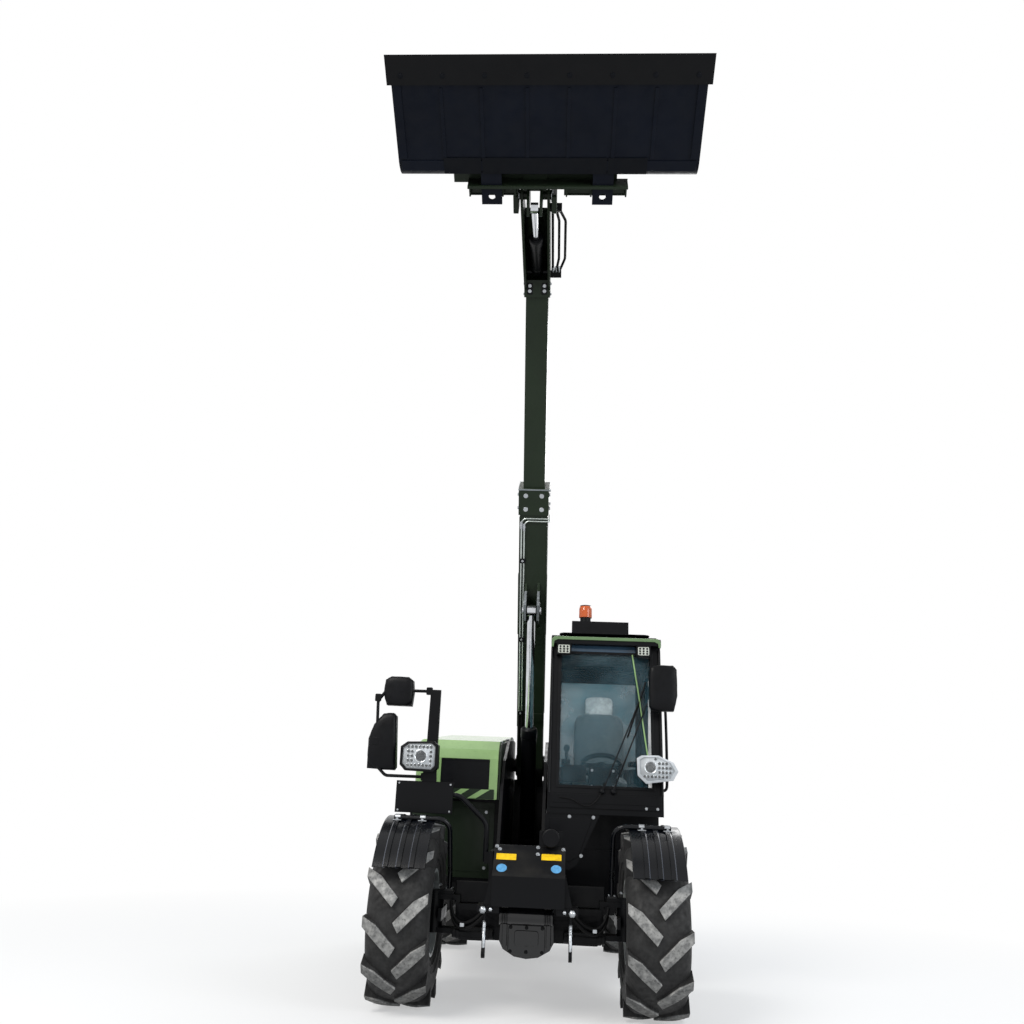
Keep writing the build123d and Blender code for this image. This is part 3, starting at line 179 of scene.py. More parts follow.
def rubber(name, centre):
    """Tyre rubber: grey worn lug faces, dusty dark flanks, measured from the wheel's axle."""
    s = Shader(name)
    offset = s.node("ShaderNodeVectorMath", operation="SUBTRACT")
    s.link(s.place, offset.inputs[0])
    offset.inputs[1].default_value = centre
    flat = s.node("ShaderNodeVectorMath", operation="MULTIPLY")
    s.link(offset.outputs[0], flat.inputs[0])
    flat.inputs[1].default_value = (0, 1, 1)
    length = s.node("ShaderNodeVectorMath", operation="LENGTH")
    s.link(flat.outputs[0], length.inputs[0])
    radius = length.outputs["Value"]
    dark = s.mix(s.ramp(s.noise(9.0, 7.0), 0.35, 0.7), srgb(12, 12, 13), srgb(34, 34, 34))
    worn = s.mix(s.ramp(s.noise(26.0, 7.0), 0.35, 0.68), srgb(120, 120, 119), srgb(178, 177, 174))
    outer = s.ramp(radius, 0.604, 0.613)
    face = s.math("MULTIPLY", outer, s.ramp(s.noise(60.0, 5.0), 0.28, 0.5, 0.45, 1.0))
    s.color(s.mix(face, dark, worn))
    s.rough(s.ramp(s.noise(30.0, 5.0), 0.3, 0.7, 0.62, 0.9))
    s.bump(s.noise(240.0, 6.0), 0.0008, 0.6)
    return s.mat


def glass(name, color, alpha, streaks=0.08):
    """Tinted safety glass with faint smears."""
    s = Shader(name, Coat_Weight=0.5, Coat_Roughness=0.03, IOR=1.4)
    s.color(s.mix(s.ramp(s.noise(2.5, 4.0), 0.3, 0.7), shade(color, 0.8), shade(color, 1.2)))
    s.rough(s.ramp(s.noise(6.0, 6.0), 0.3, 0.8, 0.02, 0.12))
    smears = s.ramp(s.noise(3.0, 6.0), 0.35, 0.68, alpha - 0.05, alpha + streaks)
    s.link(smears, s.bsdf.inputs["Alpha"])
    return s.mat


def cloth(name, color):
    """Woven seat fabric."""
    s = Shader(name, Sheen_Weight=0.25)
    s.color(s.mix(s.ramp(s.noise(30.0, 6.0), 0.3, 0.7), shade(color, 0.75), shade(color, 1.25)))
    s.bsdf.inputs["Roughness"].default_value = 0.9
    weave = s.node("ShaderNodeTexVoronoi")
    weave.inputs["Scale"].default_value = 420.0
    s.link(s.place, weave.inputs["Vector"])
    s.bump(weave.outputs["Distance"], 0.0006, 0.7)
    return s.mat


M = {
    "dark_green": paint(
        "dark_green_paint", srgb(33, 44, 31), rough=0.4, dust=0.05, coat=0.1, shine=0.15
    ),
    "light_green": paint("light_green_paint", srgb(140, 174, 112), rough=0.2, coat=0.5, dust=0.04),
    "rim_green": paint("rim_green_paint", srgb(104, 132, 92), rough=0.3, coat=0.25, dust=0.05),
    "bucket": paint(
        "bucket_paint", srgb(9, 15, 27), rough=0.5, dust=0.02, patch=3.0, coat=0.03, shine=0.11
    ),
    "black": paint("black_paint", srgb(8, 9, 12), rough=0.4, dust=0.05, coat=0.05, shine=0.11),
    "plastic": plastic("black_plastic", srgb(7, 8, 11), 0.42),
    "fender": paint(
        "fender_gloss", srgb(4, 6, 11), rough=0.26, coat=0.175, dust=0.0, patch=4.0, shine=0.175
    ),
    # fender ridges: the beads are real, their paler grey against the near-black fender is a painted
    # highlight
    "highlight_ridge": paint("fender_highlight_ridge", srgb(64, 68, 78), rough=0.18, coat=0.5, dust=0.0, patch=5.0),
    "iron": metal("engine_iron", srgb(70, 70, 70), 0.55),
    "chrome": metal("rod_chrome", srgb(205, 208, 212), 0.12, (1, 1, 30)),
    "rim": paint("rim_paint", srgb(186, 190, 189), rough=0.4, dust=0.2),
    "glass": glass("cab_glass", srgb(58, 92, 104), 0.13, 0.26),
    "seat": cloth("seat_fabric", srgb(70, 78, 80)),
    "headrest": cloth("headrest_fabric", srgb(176, 180, 178)),
    "zinc": metal("zinc_plate", srgb(176, 180, 184), 0.34),
    "steel": metal("pipe_steel", srgb(190, 198, 194), 0.3),
    "worn_steel": metal("worn_steel", srgb(130, 136, 140), 0.42, grain=260.0),
    "chrome_trim": metal("chrome_trim", srgb(226, 230, 234), 0.2),
    "mirror": metal("mirror_silver", srgb(226, 230, 233), 0.03),
    "hose": plastic("hose_rubber", srgb(12, 12, 13), 0.55, 900.0),
    "black_gloss": paint("black_gloss", srgb(7, 9, 14), rough=0.14, coat=0.5, dust=0.03),
    "bucket_dark": paint(
        "bucket_bolts", srgb(9, 12, 18), rough=0.5, dust=0.05, coat=0.025, shine=0.1
    ),
    "yellow": paint("label_yellow", srgb(238, 194, 24), rough=0.45, dust=0.0, coat=0.0, patch=30.0),
    "blue": paint("label_blue", srgb(92, 158, 206), rough=0.45, dust=0.0, coat=0.0, patch=60.0),
    "pale_floor": paint("pale_floor", srgb(178, 208, 190), rough=0.5, dust=0.1, coat=0.0),
    "rear_glass": glass("rear_glass", srgb(88, 128, 138), 0.6, 0.3),
    "lens": glass("clear_lens", srgb(232, 238, 242), 0.07),
    "amber": glass("amber_lens", srgb(214, 96, 34), 0.9),
    "red_lens": glass("red_lens", srgb(170, 16, 12), 0.92),
    "lamp_body": paint("lamp_body", srgb(206, 210, 214), rough=0.3, dust=0.0, coat=0.2, patch=14.0),
    "lamp_face": paint(
        "lamp_face", srgb(196, 200, 190), rough=0.4, dust=0.05, coat=0.1, patch=20.0
    ),
    "led": paint("led_cell", srgb(16, 18, 21), rough=0.25, dust=0.0, coat=0.15, patch=20.0),
    # opaque blue paint standing in for the sky reflected in glass: a painted reflection
    "painted_sky_reflection": paint("painted_sky_reflection", srgb(58, 86, 108), rough=0.1, dust=0.0, coat=0.5, patch=3.0)
}

looks = {
    "light_green": "hood",
    "black": "main_frame nose axle_front axle_rear counterweight knuckle_front_left "
             "knuckle_front_right knuckle_rear_left knuckle_rear_right engine_bay cutting_edge "
             "fuel_tank hydraulic_tank tilt_barrel lift_barrel cab_frame cab_door cab_roof "
             "front_panel",
    "bucket": "bucket",
    "dark_green": "boom_outer boom_inner hood_panel carriage",
    "plastic": "mirror_left mirror_right headlight_left headlight_right roof_lights "
               "steering_column hood_grille",
    "fender": "fender_front_left fender_front_right",
    "iron": "engine_block",
    "chrome": "lift_rod tilt_rod boom_pin",
    "rim": "rim_front_left rim_front_right rim_rear_left rim_rear_right",
    "glass": "windscreen door_window",
    "rear_glass": "cab_windows",
    "seat": "seat",
    "steel": "boom_pipes",
    "hose": "hydraulic_hoses",
}
WHEELS = (("front_left", 1), ("front_right", -1), ("rear_left", 1), ("rear_right", -1))


def dress(obj, material):
    obj.data.materials.clear()
    obj.data.materials.append(material)


for look, members in looks.items():
    for member in members.split():
        dress(nodes[member], M[look])
for wheel, _ in WHEELS:
    name = f"tyre_{wheel}"
    dress(nodes[name], rubber(f"rubber_{wheel}", wheel_centre(name)))

# ---------------------------------------------------------------- piece helpers
scene = bpy.context.scene
AXLE_Y = (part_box("tyre_front_left")[0].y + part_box("tyre_front_left")[1].y) / 2


def mount(name, data, materials, body):
    """Puts mesh or curve data into the scene, riding on a body."""
    obj = bpy.data.objects.new(name, data)
    scene.collection.objects.link(obj)
    for material in materials:
        data.materials.append(material)
    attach(obj, body)
    return obj


def soften(obj, width, segments=2):
    mod = obj.modifiers.new("bevel", "BEVEL")
    mod.width, mod.segments, mod.limit_method = width, segments, "ANGLE"
    mod.angle_limit = math.radians(35)
    mod.harden_normals = False


def piece(name, bm, look, body="chassis", smooth=False, bevel=0.0, segments=2):
    """Makes bm a piece that rides on a body; look names one material or several."""
    bmesh.ops.remove_doubles(bm, verts=bm.verts, dist=1e-6)
    bmesh.ops.recalc_face_normals(bm, faces=bm.faces)
    for face in bm.faces:
        face.smooth = smooth
    mesh = bpy.data.meshes.new(name)
    bm.to_mesh(mesh)
    bm.free()
    names = look.split()
    obj = mount(name, mesh, [M[one] for one in names], body)
    if bevel:
        soften(obj, bevel, segments)
    return obj


def frame_of(origin, u, v):
    """A local frame: u right, v up, their cross product outward."""
    u, v = Vector(u).normalized(), Vector(v).normalized()
    return Vector(origin), u, v, u.cross(v)


def facing(origin, out, up):
    """A local frame that faces out, with up as its v."""
    return frame_of(origin, Vector(up).cross(Vector(out)), up)


def at(local, a, b, c=0.0):
    origin, u, v, n = local
    return origin + u * a + v * b + n * c


def slab(bm, local, outline, low, high, index=0):
    """Adds a prism to bm: outline of (a, b) points, from low to high along the frame's normal."""
    bottom = [bm.verts.new(at(local, a, b, low)) for a, b in outline]
    top = [bm.verts.new(at(local, a, b, high)) for a, b in outline]
    faces = [bm.faces.new(top), bm.faces.new(bottom[::-1])] + strips(bm, (bottom, top))
    for face in faces:
        face.material_index = index


def ring_points(cx, cy, radius, count=24, start=0.0):
    turns = [2 * math.pi * i / count + start for i in range(count)]
    return [(cx + radius * math.cos(t), cy + radius * math.sin(t)) for t in turns]


def rect(cx, cy, width, height, corner=0.0, steps=4):
    """A rectangle's outline, with rounded corners if asked."""
    w, h = width / 2, height / 2
    if not corner:
        return [(cx - w, cy - h), (cx + w, cy - h), (cx + w, cy + h), (cx - w, cy + h)]
    out = []
    for sx, sy, start in ((1, -1, -90), (1, 1, 0), (-1, 1, 90), (-1, -1, 180)):
        for i in range(steps + 1):
            angle = math.radians(start + 90 * i / steps)
            out.append((
                cx + sx * (w - corner) + corner * math.cos(angle),
                cy + sy * (h - corner) + corner * math.sin(angle),
            ))
    return out


def strips(bm, rows, closed=True):
    """Joins rows of vertices with quads, round and round if closed; gives the faces."""
    count = len(rows[0])
    return [
        bm.faces.new((low[i], low[(i + 1) % count], high[(i + 1) % count], high[i]))
        for low, high in zip(rows, rows[1:]) for i in range(count if closed else count - 1)
    ]


def lathe(bm, local, profile, count=48, index=0, closed=True):
    """Turns a profile of (radius, along) round the frame's normal."""
    rows = [
        [bm.verts.new(at(local, a, b, along)) for a, b in ring_points(0, 0, radius, count)]
        for radius, along in profile
    ]
    faces = strips(bm, rows)
    if closed:
        faces += [bm.faces.new(row) for row in (rows[0], rows[-1])]
    for face in faces:
        face.material_index = index


def tube(name, points, radius, look, body="chassis", order=3, sides=6):
    """A round tube along a smooth curve; order 2 gives straight runs."""
    curve = bpy.data.curves.new(name, "CURVE")
    curve.dimensions = "3D"
    curve.bevel_depth = radius
    curve.bevel_resolution = sides
    curve.use_fill_caps = True
    curve.resolution_u = 10
    spline = curve.splines.new("NURBS")
    spline.points.add(len(points) - 1)
    for point, spot in zip(spline.points, points):
        point.co = (*spot, 1.0)
    spline.use_endpoint_u = True
    spline.order_u = order
    mount(name, curve, [M[look]], body)


def bolts(name, places, radius, height, look="zinc", body="chassis"):
    """Hexagon bolts with washers: places are (point, outward direction)."""
    bm = bmesh.new()
    for point, out in places:
        out = Vector(out).normalized()
        side = out.orthogonal().normalized()
        local = (Vector(point), side, out.cross(side), out)
        slab(bm, local, ring_points(0, 0, radius * 1.45, 16), 0.0, height * 0.3)
        slab(bm, local, ring_points(0, 0, radius, 6), height * 0.3, height)
    piece(name, bm, look, body, bevel=radius * 0.1, segments=1)


# ---------------------------------------------------------------- places
MID = 0.0765          # the machine's middle plane
BOOM_X = -0.1         # the boom's, from there
X, Y, Z = Vector((1, 0, 0)), Vector((0, 1, 0)), Vector((0, 0, 1))


def P(x, y, z):
    """A place from the middle plane, the front axle and the ground."""
    return Vector((x + MID, y + AXLE_Y, z))


def front(x, y, z):
    return frame_of(P(x, y, z), X, Z)


def rear(x, y, z):
    return frame_of(P(x, y, z), -X, Z)


def left(x, y, z):
    return frame_of(P(x, y, z), Y, Z)


def right(x, y, z):
    return frame_of(P(x, y, z), -Y, Z)


def above(x, y, z):
    return frame_of(P(x, y, z), X, Y)


lean = math.radians(58.93)      # the boom's rise
ALONG = Vector((0, -math.cos(lean), math.sin(lean)))
SQUARE = Vector((0, math.sin(lean), math.cos(lean)))
PIVOT = P(BOOM_X, 2.45, 1.76)


def boom(s, u, x=0.0):
    """A place in the boom's plane: s along it, u square to it, x across."""
    return PIVOT + ALONG * s + SQUARE * u + X * x


BOOM_W, BOOM_H = 0.130, 0.155         # half the outer tube's width and height
COLLAR_W, COLLAR_H = 0.142, 0.168     # half of its front collar's
LIFT_PIN = (1.80, -0.305)             # s and u of the lift cylinder's upper pin
PIPE_U, PIPES = -0.1633, (-0.086, -0.112)     # the two pipes below the tube: u, and x of each


def under(s, x=0.0, u=-BOOM_H):
    return frame_of(boom(s, u, x), X, ALONG)


def boom_side(s, u, x, side):
    """A frame on a side of the boom: side is 1 or -1, x its distance from the middle."""
    return frame_of(boom(s, u, side * x), SQUARE * side, ALONG)


tilt = math.radians(31.8)       # the tool's rise
TOOL_ALONG = Vector((0, -math.cos(tilt), math.sin(tilt)))
TOOL_SQUARE = Vector((0, math.sin(tilt), math.cos(tilt)))
TOOL = boom(5.488, -0.9)


def tool(a, b, x=0.0):
    """A place in the tool's plane; x is across, from the machine's middle plane."""
    return TOOL + TOOL_ALONG * a + TOOL_SQUARE * b + X * (x - BOOM_X)


def tool_face(a, b, x):
    """A frame on the tool's front, which the camera sees from below."""
    return facing(tool(a, b, x), -TOOL_SQUARE, TOOL_ALONG)


# ---------------------------------------------------------------- tyres and wheels
TREAD = [
    (0.0, 0.591), (0.10, 0.590), (0.145, 0.585), (0.175, 0.571), (0.202, 0.548), (0.220, 0.515),
    (0.227, 0.478), (0.226, 0.436), (0.217, 0.390), (0.205, 0.352), (0.198, 0.330), (0.190, 0.318),
    (0.180, 0.304)
]
RINGS = ((0.352, 0.006), (0.470, 0.004), (0.404, 0.003))    # raised rings on the flanks
TREAD_SHARE = 0.96    # of the solid's width
TREAD_STEPS = 96
LUGS = 12             # on each side


def lug_edges(t):
    """Both edges of a lug at share t of its length: (across, lead) pairs."""
    knee = 0.45
    if t < knee:
        k = t / knee
        a = (-0.012 + 0.140 * k, -0.086 + 0.138 * k)
    else:
        k = (t - knee) / (1 - knee)
        a = (0.128 + 0.100 * k, 0.052 + 0.056 * k)
    return a, (0.028 + 0.200 * t, -0.150 + 0.186 * t)


def tyre(where, side):
    """The tyre's tread and flanks, in place of the plain solid, and the wheel's small parts."""
    centre = wheel_centre(f"tyre_{where}")

    def spot(across, turn, radius):
        x = side * across * TREAD_SHARE
        return centre + Vector((x, radius * math.cos(turn), radius * math.sin(turn)))

    def hoops(profile):
        return [
            [bm.verts.new(spot(a, 2 * math.pi * i / TREAD_STEPS, r)) for i in range(TREAD_STEPS)]
            for a, r in profile
        ]

    bm = bmesh.new()
    rows = hoops([(-a, r) for a, r in reversed(TREAD)] + TREAD[1:])
    for face in strips(bm, rows + rows[:1]):
        face.smooth = True
    for ring_radius, swell in RINGS:
        for sign in (-1, 1):
            base = 0.196 + 0.030 * math.sin(math.pi * (ring_radius - 0.31) / 0.26)
            ring = [(sign * (base + swell * math.sin(t)), ring_radius + 0.006 * math.cos(t))
                    for t in (math.pi * step / 4 for step in range(5))]
            for face in strips(bm, hoops(ring)):
                face.smooth = True
    shares = (0.0, 0.15, 0.3, 0.45, 0.6, 0.78, 1.0)
    for sign, phase in ((1, 0.25), (-1, 0.75)):
        for number in range(LUGS):
            turn = (number + phase) * 2 * math.pi / LUGS
            tops, feet = [], []
            for t in shares:
                ends = lug_edges(t)
                middle = [(ends[0][i] + ends[1][i]) / 2 for i in range(2)]
                for bank, grow, high in ((tops, 0.93, True), (feet, 1.12, False)):
                    pair = []
                    for a, lead in ends:
                        a = middle[0] + (a - middle[0]) * grow
                        lead = middle[1] + (lead - middle[1]) * grow
                        past = max(0.0, a - 0.14)
                        radius = 0.621 - past * 0.11 if high else 0.583 - past * 0.95
                        pair.append(bm.verts.new(spot(sign * a, turn - lead / 0.6, radius)))
                    bank.append(pair)
            for k in range(len(shares) - 1):
                bm.faces.new((tops[k][0], tops[k][1], tops[k + 1][1], tops[k + 1][0]))
                for side_index in (0, 1):
                    bm.faces.new((
                        feet[k][side_index], tops[k][side_index],
                        tops[k + 1][side_index], feet[k + 1][side_index],
                    ))
            bm.faces.new((feet[0][0], feet[0][1], tops[0][1], tops[0][0]))
            bm.faces.new((feet[-1][0], tops[-1][0], tops[-1][1], feet[-1][1]))
    bmesh.ops.recalc_face_normals(bm, faces=bm.faces)
    mesh = bpy.data.meshes.new(f"tread_{where}")
    bm.to_mesh(mesh)
    bm.free()
    obj = mount(f"tread_{where}", mesh, [rubber(f"tread_rubber_{where}", centre)], f"wheel_{where}")
    soften(obj, 0.004)
    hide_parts(f"tyre_{where}")
    # wheel nuts, hub cap and valve
    face = frame_of(centre + X * side * 0.0601, Y * side, Z)
    bm = bmesh.new()
    for number, (a, b) in enumerate(ring_points(0, 0, 0.172, 8, 0.2)):
        angle = math.pi * number / 4 + 0.2
        slab(bm, face, ring_points(a, b, 0.021, 20), 0.0, 0.004)
        slab(bm, face, ring_points(a, b, 0.015, 6, angle), 0.004, 0.019)
        slab(bm, face, ring_points(a, b, 0.009, 12), 0.019, 0.030)
    lathe(bm, face, [(0.070, 0.058), (0.070, 0.066), (0.060, 0.072), (0.020, 0.075)], 32)
    piece(f"wheel_nuts_{where}", bm, "zinc", f"wheel_{where}", bevel=0.0012, segments=1)
    valve = [at(face, 0.0, b, out) for b, out in ((0.200, -0.02), (0.212, 0.03), (0.222, 0.05))]
    tube(f"valve_{where}", valve, 0.004, "plastic", f"wheel_{where}")


for where, side in WHEELS:
    tyre(where, side)

# ---------------------------------------------------------------- fenders
STAY_Y, STAY_Z = -0.215, 1.281                 # the tube that carries the fender
FENDER_Y, FENDER_Z, FENDER_R = -0.045, 0.625, 0.659
CLAMP = [(radius * math.cos(math.pi * k / 10), radius * math.sin(math.pi * k / 10))
         for radius, turn in ((0.024, 1), (0.0185, -1)) for k in range(11)[::turn]]
for where, side in WHEELS[:2]:
    body = f"knuckle_{where}"
    # saddle clamps over the tube, with their plates and bolts
    bm = bmesh.new()
    for x in (0.800, 0.985):
        face = frame_of(P(side * x, STAY_Y, STAY_Z - 0.020), X, Y)
        slab(bm, face, rect(0, 0, 0.062, 0.105, 0.006), 0.0, 0.006)
        slab(bm, frame_of(P(side * x - 0.020, STAY_Y, STAY_Z), Y, Z), CLAMP, 0.0, 0.040)
    piece(f"fender_clamps_{where}", bm, "zinc", body, bevel=0.0015, segments=1)
    places = [
        (P(side * x, STAY_Y + d, STAY_Z - 0.014), Z) for x in (0.800, 0.985)
        for d in (-0.040, 0.040)
    ]
    places += [(P(side * x, y, 0.7865), Z) for x in (0.58, 0.62) for y in (-0.03, 0.03)]
    bolts(f"fender_bolts_{where}", places, 0.009, 0.012, body=body)
    # rolled edges along the fender's sides, ridges between them; the ridges' paler grey is a
    # painted highlight
    centre = P(side * 1.072, FENDER_Y, FENDER_Z)
    turns = [math.radians(149 + (66 - 149) * k / 14) for k in range(15)]
    arc = [centre + (Y * math.cos(t) + Z * math.sin(t)) * FENDER_R for t in turns]
    tube(f"fender_edge_{where}", arc, 0.0065, "fender", body, sides=4)
    for number, inward in enumerate((0.075, 0.165, 0.255)):
        # the ridges' pale paint is a painted highlight along each bead
        highlight_ridge = [p - X * side * inward + (p - centre).normalized() * 0.001 for p in arc]
        tube(f"fender_ridge_{where}_{number}", highlight_ridge, 0.011, "highlight_ridge", body, sides=8)
    tube(
        f"fender_inner_edge_{where}", [p - X * side * 0.358 for p in arc], 0.0065, "fender", body,
        sides=4
    )
    bolts(f"kingpin_bolts_{where}",
          [(P(side * (0.70 + a), b, 0.8095), Z) for a, b in ring_points(0, 0, 0.042, 4, 0.8)],
          0.010, 0.010, body=body)

# ---------------------------------------------------------------- nose and axle
SLOPE_V = (P(0, -0.36, 1.132) - P(0, -0.552, 0.96)).normalized()
slope = frame_of(P(0, -0.552, 0.96), X, SLOPE_V)


def up_slope(z):
    """How far up the nose's slope a height lies."""
    return (z - 0.96) / SLOPE_V.z


bm = bmesh.new()
for x, z in ((-0.163, 1.057), (0.153, 1.064)):
    slab(bm, slope, rect(x, up_slope(z), 0.140, 0.056, 0.004), 0.0, 0.0012, 0)
for x, z in ((-0.189, 0.988), (0.188, 0.994)):
    slab(bm, slope, ring_points(x, up_slope(z), 0.036, 32), 0.0, 0.0012, 1)
piece("nose_labels", bm, "yellow blue")
bolts("nose_bolts", [(at(slope, x, up_slope(z)), slope[3]) for x, z in (
    (-0.213, 1.103), (0.057, 1.122), (0.057, 1.080), (-0.235, 1.12), (0.235, 1.115))], 0.010, 0.009)
bm = bmesh.new()
for side in (-1, 1):
    nut = front(side * 0.303, -0.562, 0.722)
    slab(bm, nut, ring_points(0, 0, 0.024, 6), 0.0, 0.020)
    slab(bm, nut, ring_points(side * -0.052, 0.004, 0.013, 6), 0.0, 0.016)
    tie = above(side * 0.295, -0.485, 0.705)
    lathe(bm, tie, [(0.018, -0.002), (0.018, 0.018), (0.010, 0.020)], 6)
    lathe(bm, tie, [(0.0125, along) for along in (-0.270, -0.262, -0.245, -0.06)], 20)
    for k in range(14):
        thread = ((0.0125, 0.07), (0.0136, 0.072), (0.0125, 0.074))
        lathe(bm, tie, [(radius, -down - 0.004 * k) for radius, down in thread], 20)
piece("tie_rods", bm, "zinc", smooth=True)

# differential: a glossy ribbed barrel along the axle, with its bolted housing below
bm = bmesh.new()
barrel = frame_of(P(-0.208, -0.300, 0.668), Y, Z)
near_grooves, far_grooves = (
    [(radius, start + 0.012 * k + step) for k in range(4)
     for radius, step in ((0.066, 0.0), (0.061, 0.003), (0.061, 0.008), (0.066, 0.011))]
    for start in (0.020, 0.320)
)
lathe(
    bm, barrel,
    [
        (0.050, 0.0), (0.066, 0.006), *near_grooves, (0.066, 0.15), (0.064, 0.19), (0.066, 0.23),
        *far_grooves, (0.066, 0.380), (0.050, 0.386)
    ],
    40
)
piece("axle_barrel", bm, "black_gloss", smooth=True, bevel=0.001)
bm = bmesh.new()
cover = front(-0.010, -0.235, 0.500)
housing = [(-0.190, 0.120), (-0.195, -0.010), (-0.165, -0.065), (-0.085, -0.110), (0.0, -0.122),
           (0.085, -0.110), (0.165, -0.065), (0.195, -0.010), (0.190, 0.120)]
slab(bm, cover, housing, -0.10, 0.0)
slab(bm, cover, rect(0, 0.005, 0.26, 0.19, 0.03, 4), 0.0, 0.026)
slab(bm, cover, rect(0, 0.015, 0.17, 0.10, 0.02, 4), 0.026, 0.036)
for k in (-1, 1):
    slab(bm, cover, rect(k * 0.155, 0.03, 0.035, 0.15, 0.01), 0.0, 0.018)
piece("axle_housing", bm, "black_gloss", bevel=0.008, segments=3)
places = [(at(cover, a, b, 0.026), cover[3]) for a in (-0.112, 0, 0.112) for b in (-0.073, 0.083)]
bolts("housing_bolts", places, 0.009, 0.008, "black")
bm = bmesh.new()
for side in (-1, 1):
    slab(
        bm, front(side * 0.33, -0.075, 0.565),
        [
            (-0.15, -0.100), (0.15, -0.100), (0.17, -0.02), (0.17, 0.10), (-0.17, 0.10),
            (-0.17, -0.02)
        ],
        -0.05, 0.0
    )
    slab(bm, front(side * 0.37, -0.020, 0.775), rect(0, 0, 0.36, 0.15, 0.01), -0.03, 0.0)
piece("axle_casing", bm, "black", bevel=0.006)
# steering cylinder's barrel along the axle, its hoses and their clips
for side in (-1, 1):
    bm = bmesh.new()
    local = frame_of(P(side * 0.40 - 0.15, -0.135, 0.515), Y, Z)
    lathe(bm, local, [(0.020, 0.0), (0.036, 0.004), (0.036, 0.296), (0.020, 0.30)], 28)
    lathe(bm, local, [(0.042, 0.03), (0.042, 0.06)], 28)
    lathe(bm, local, [(0.042, 0.24), (0.042, 0.27)], 28)
    slab(bm, front(side * 0.40, -0.16, 0.512), rect(0, 0, 0.20, 0.085, 0.015), -0.06, 0.0)
    piece(f"steering_barrel_{'right' if side < 0 else 'left'}", bm, "black", bevel=0.003)
    for number, drop in enumerate((0.0, 0.035)):
        run = ((0.21, -0.20, 0.74), (0.30, -0.23, 0.70 - drop), (0.40, -0.23, 0.60 - drop),
               (0.50, -0.21, 0.58 - drop), (0.56, -0.17, 0.66 - drop), (0.57, -0.12, 0.72))
        tube(
            f"axle_hose_{side + 1}_{number}", [P(side * x, y, z) for x, y, z in run], 0.011, "hose"
        )
    bm = bmesh.new()
    for x, z in ((0.27, 0.715), (0.47, 0.578)):
        slab(bm, front(side * x, -0.225, z), rect(0, 0, 0.030, 0.024, 0.004), -0.02, 0.020)
    piece(f"hose_clips_{side + 1}", bm, "zinc", bevel=0.002)

# horn's grille and rim
bm = bmesh.new()
horn = front(0.145, -0.402, 1.187)
lathe(bm, horn, [(0.060, -0.012), (0.062, 0.002), (0.056, 0.006), (0.052, 0.002)], 40, closed=False)
for b in (-0.036, -0.018, 0.0, 0.018, 0.036):
    slab(bm, horn, rect(0, b, 2 * math.sqrt(0.05 ** 2 - b ** 2), 0.006), -0.006, 0.003)
slab(bm, horn, ring_points(0, 0, 0.018, 24), 0.0, 0.007)
piece("horn_grille", bm, "plastic", bevel=0.001, segments=1)

# ---------------------------------------------------------------- headlights
RIGHT_LAMP = [(-1.026, 1.660), (-1.026, 1.795), (-0.975, 1.832), (-0.770, 1.840),
              (-0.735, 1.812), (-0.733, 1.645), (-0.765, 1.612), (-0.985, 1.618)]
LEFT_LAMP = [(0.818, 1.655), (0.812, 1.788), (0.850, 1.812), (0.982, 1.816),
             (1.102, 1.766), (1.141, 1.698), (1.100, 1.627), (0.885, 1.595)]


def shrink(outline, share):
    cx = sum(p[0] for p in outline) / len(outline)
    cz = sum(p[1] for p in outline) / len(outline)
    return [((x - cx) * share, (z - cz) * share) for x, z in outline], cx, cz


def clear(p, q, a, b, gap=0.012):
    """Whether (a, b) lies inside the edge from p to q by the gap."""
    du, dv = q[0] - p[0], q[1] - p[1]
    return du * (b - p[1]) - dv * (a - p[0]) < -gap * math.hypot(du, dv)


for name, outline, y, (bx, bz) in (
    ("right", RIGHT_LAMP, -0.083, (0.010, 0.0)),
    ("left", LEFT_LAMP, 0.310, (-0.040, 0.002)),
):
    rim, cx, cz = shrink(outline, 1.0)
    face = front(cx, y, cz)
    # a raised bezel, the optics within it and the lens before them
    bm = bmesh.new()
    inner = shrink(outline, 0.84)[0]
    strips(bm, [[bm.verts.new(at(face, *p, out)) for p in bank]
                for bank, out in ((rim, -0.02), (rim, 0.006), (inner, 0.010), (inner, 0.001))])
    piece(
        f"headlight_bezel_{name}", bm, "plastic" if name == "right" else "lamp_body",
        bevel=0.002
    )
    bm = bmesh.new()
    slab(bm, face, shrink(outline, 0.86)[0], 0.0005, 0.002, 0)
    main = frame_of(at(face, bx, bz, 0.002), X, Z)
    lathe(
        bm, main, [(0.050, 0.0), (0.050, 0.007), (0.045, 0.008), (0.040, 0.002)], 40, 1,
        closed=False
    )
    lathe(bm, main, [(0.038, 0.0005), (0.034, 0.006), (0.018, 0.009), (0.002, 0.010)], 32, 2)
    for row in range(-2, 3):
        for col in range(-5, 6):
            a, b = col * 0.029, row * 0.034
            if math.hypot(a - bx, b - bz) < 0.066:
                continue
            if all(clear(p, q, a, b) for p, q in zip(inner, inner[1:] + inner[:1])):
                cell = frame_of(at(face, a, b, 0.002), X, Z)
                lathe(
                    bm, cell, [(0.0135, 0.0), (0.0135, 0.003), (0.0115, 0.0015)], 14, 1,
                    closed=False
                )
                lathe(bm, cell, [(0.0110, 0.0), (0.0100, 0.004), (0.001, 0.0055)], 12, 2)
    piece(f"headlight_optics_{name}", bm, "lamp_body chrome_trim led", smooth=True)
    bm = bmesh.new()
    slab(bm, face, shrink(outline, 0.85)[0], 0.0135, 0.0155)
    piece(f"headlight_lens_{name}", bm, "lens")

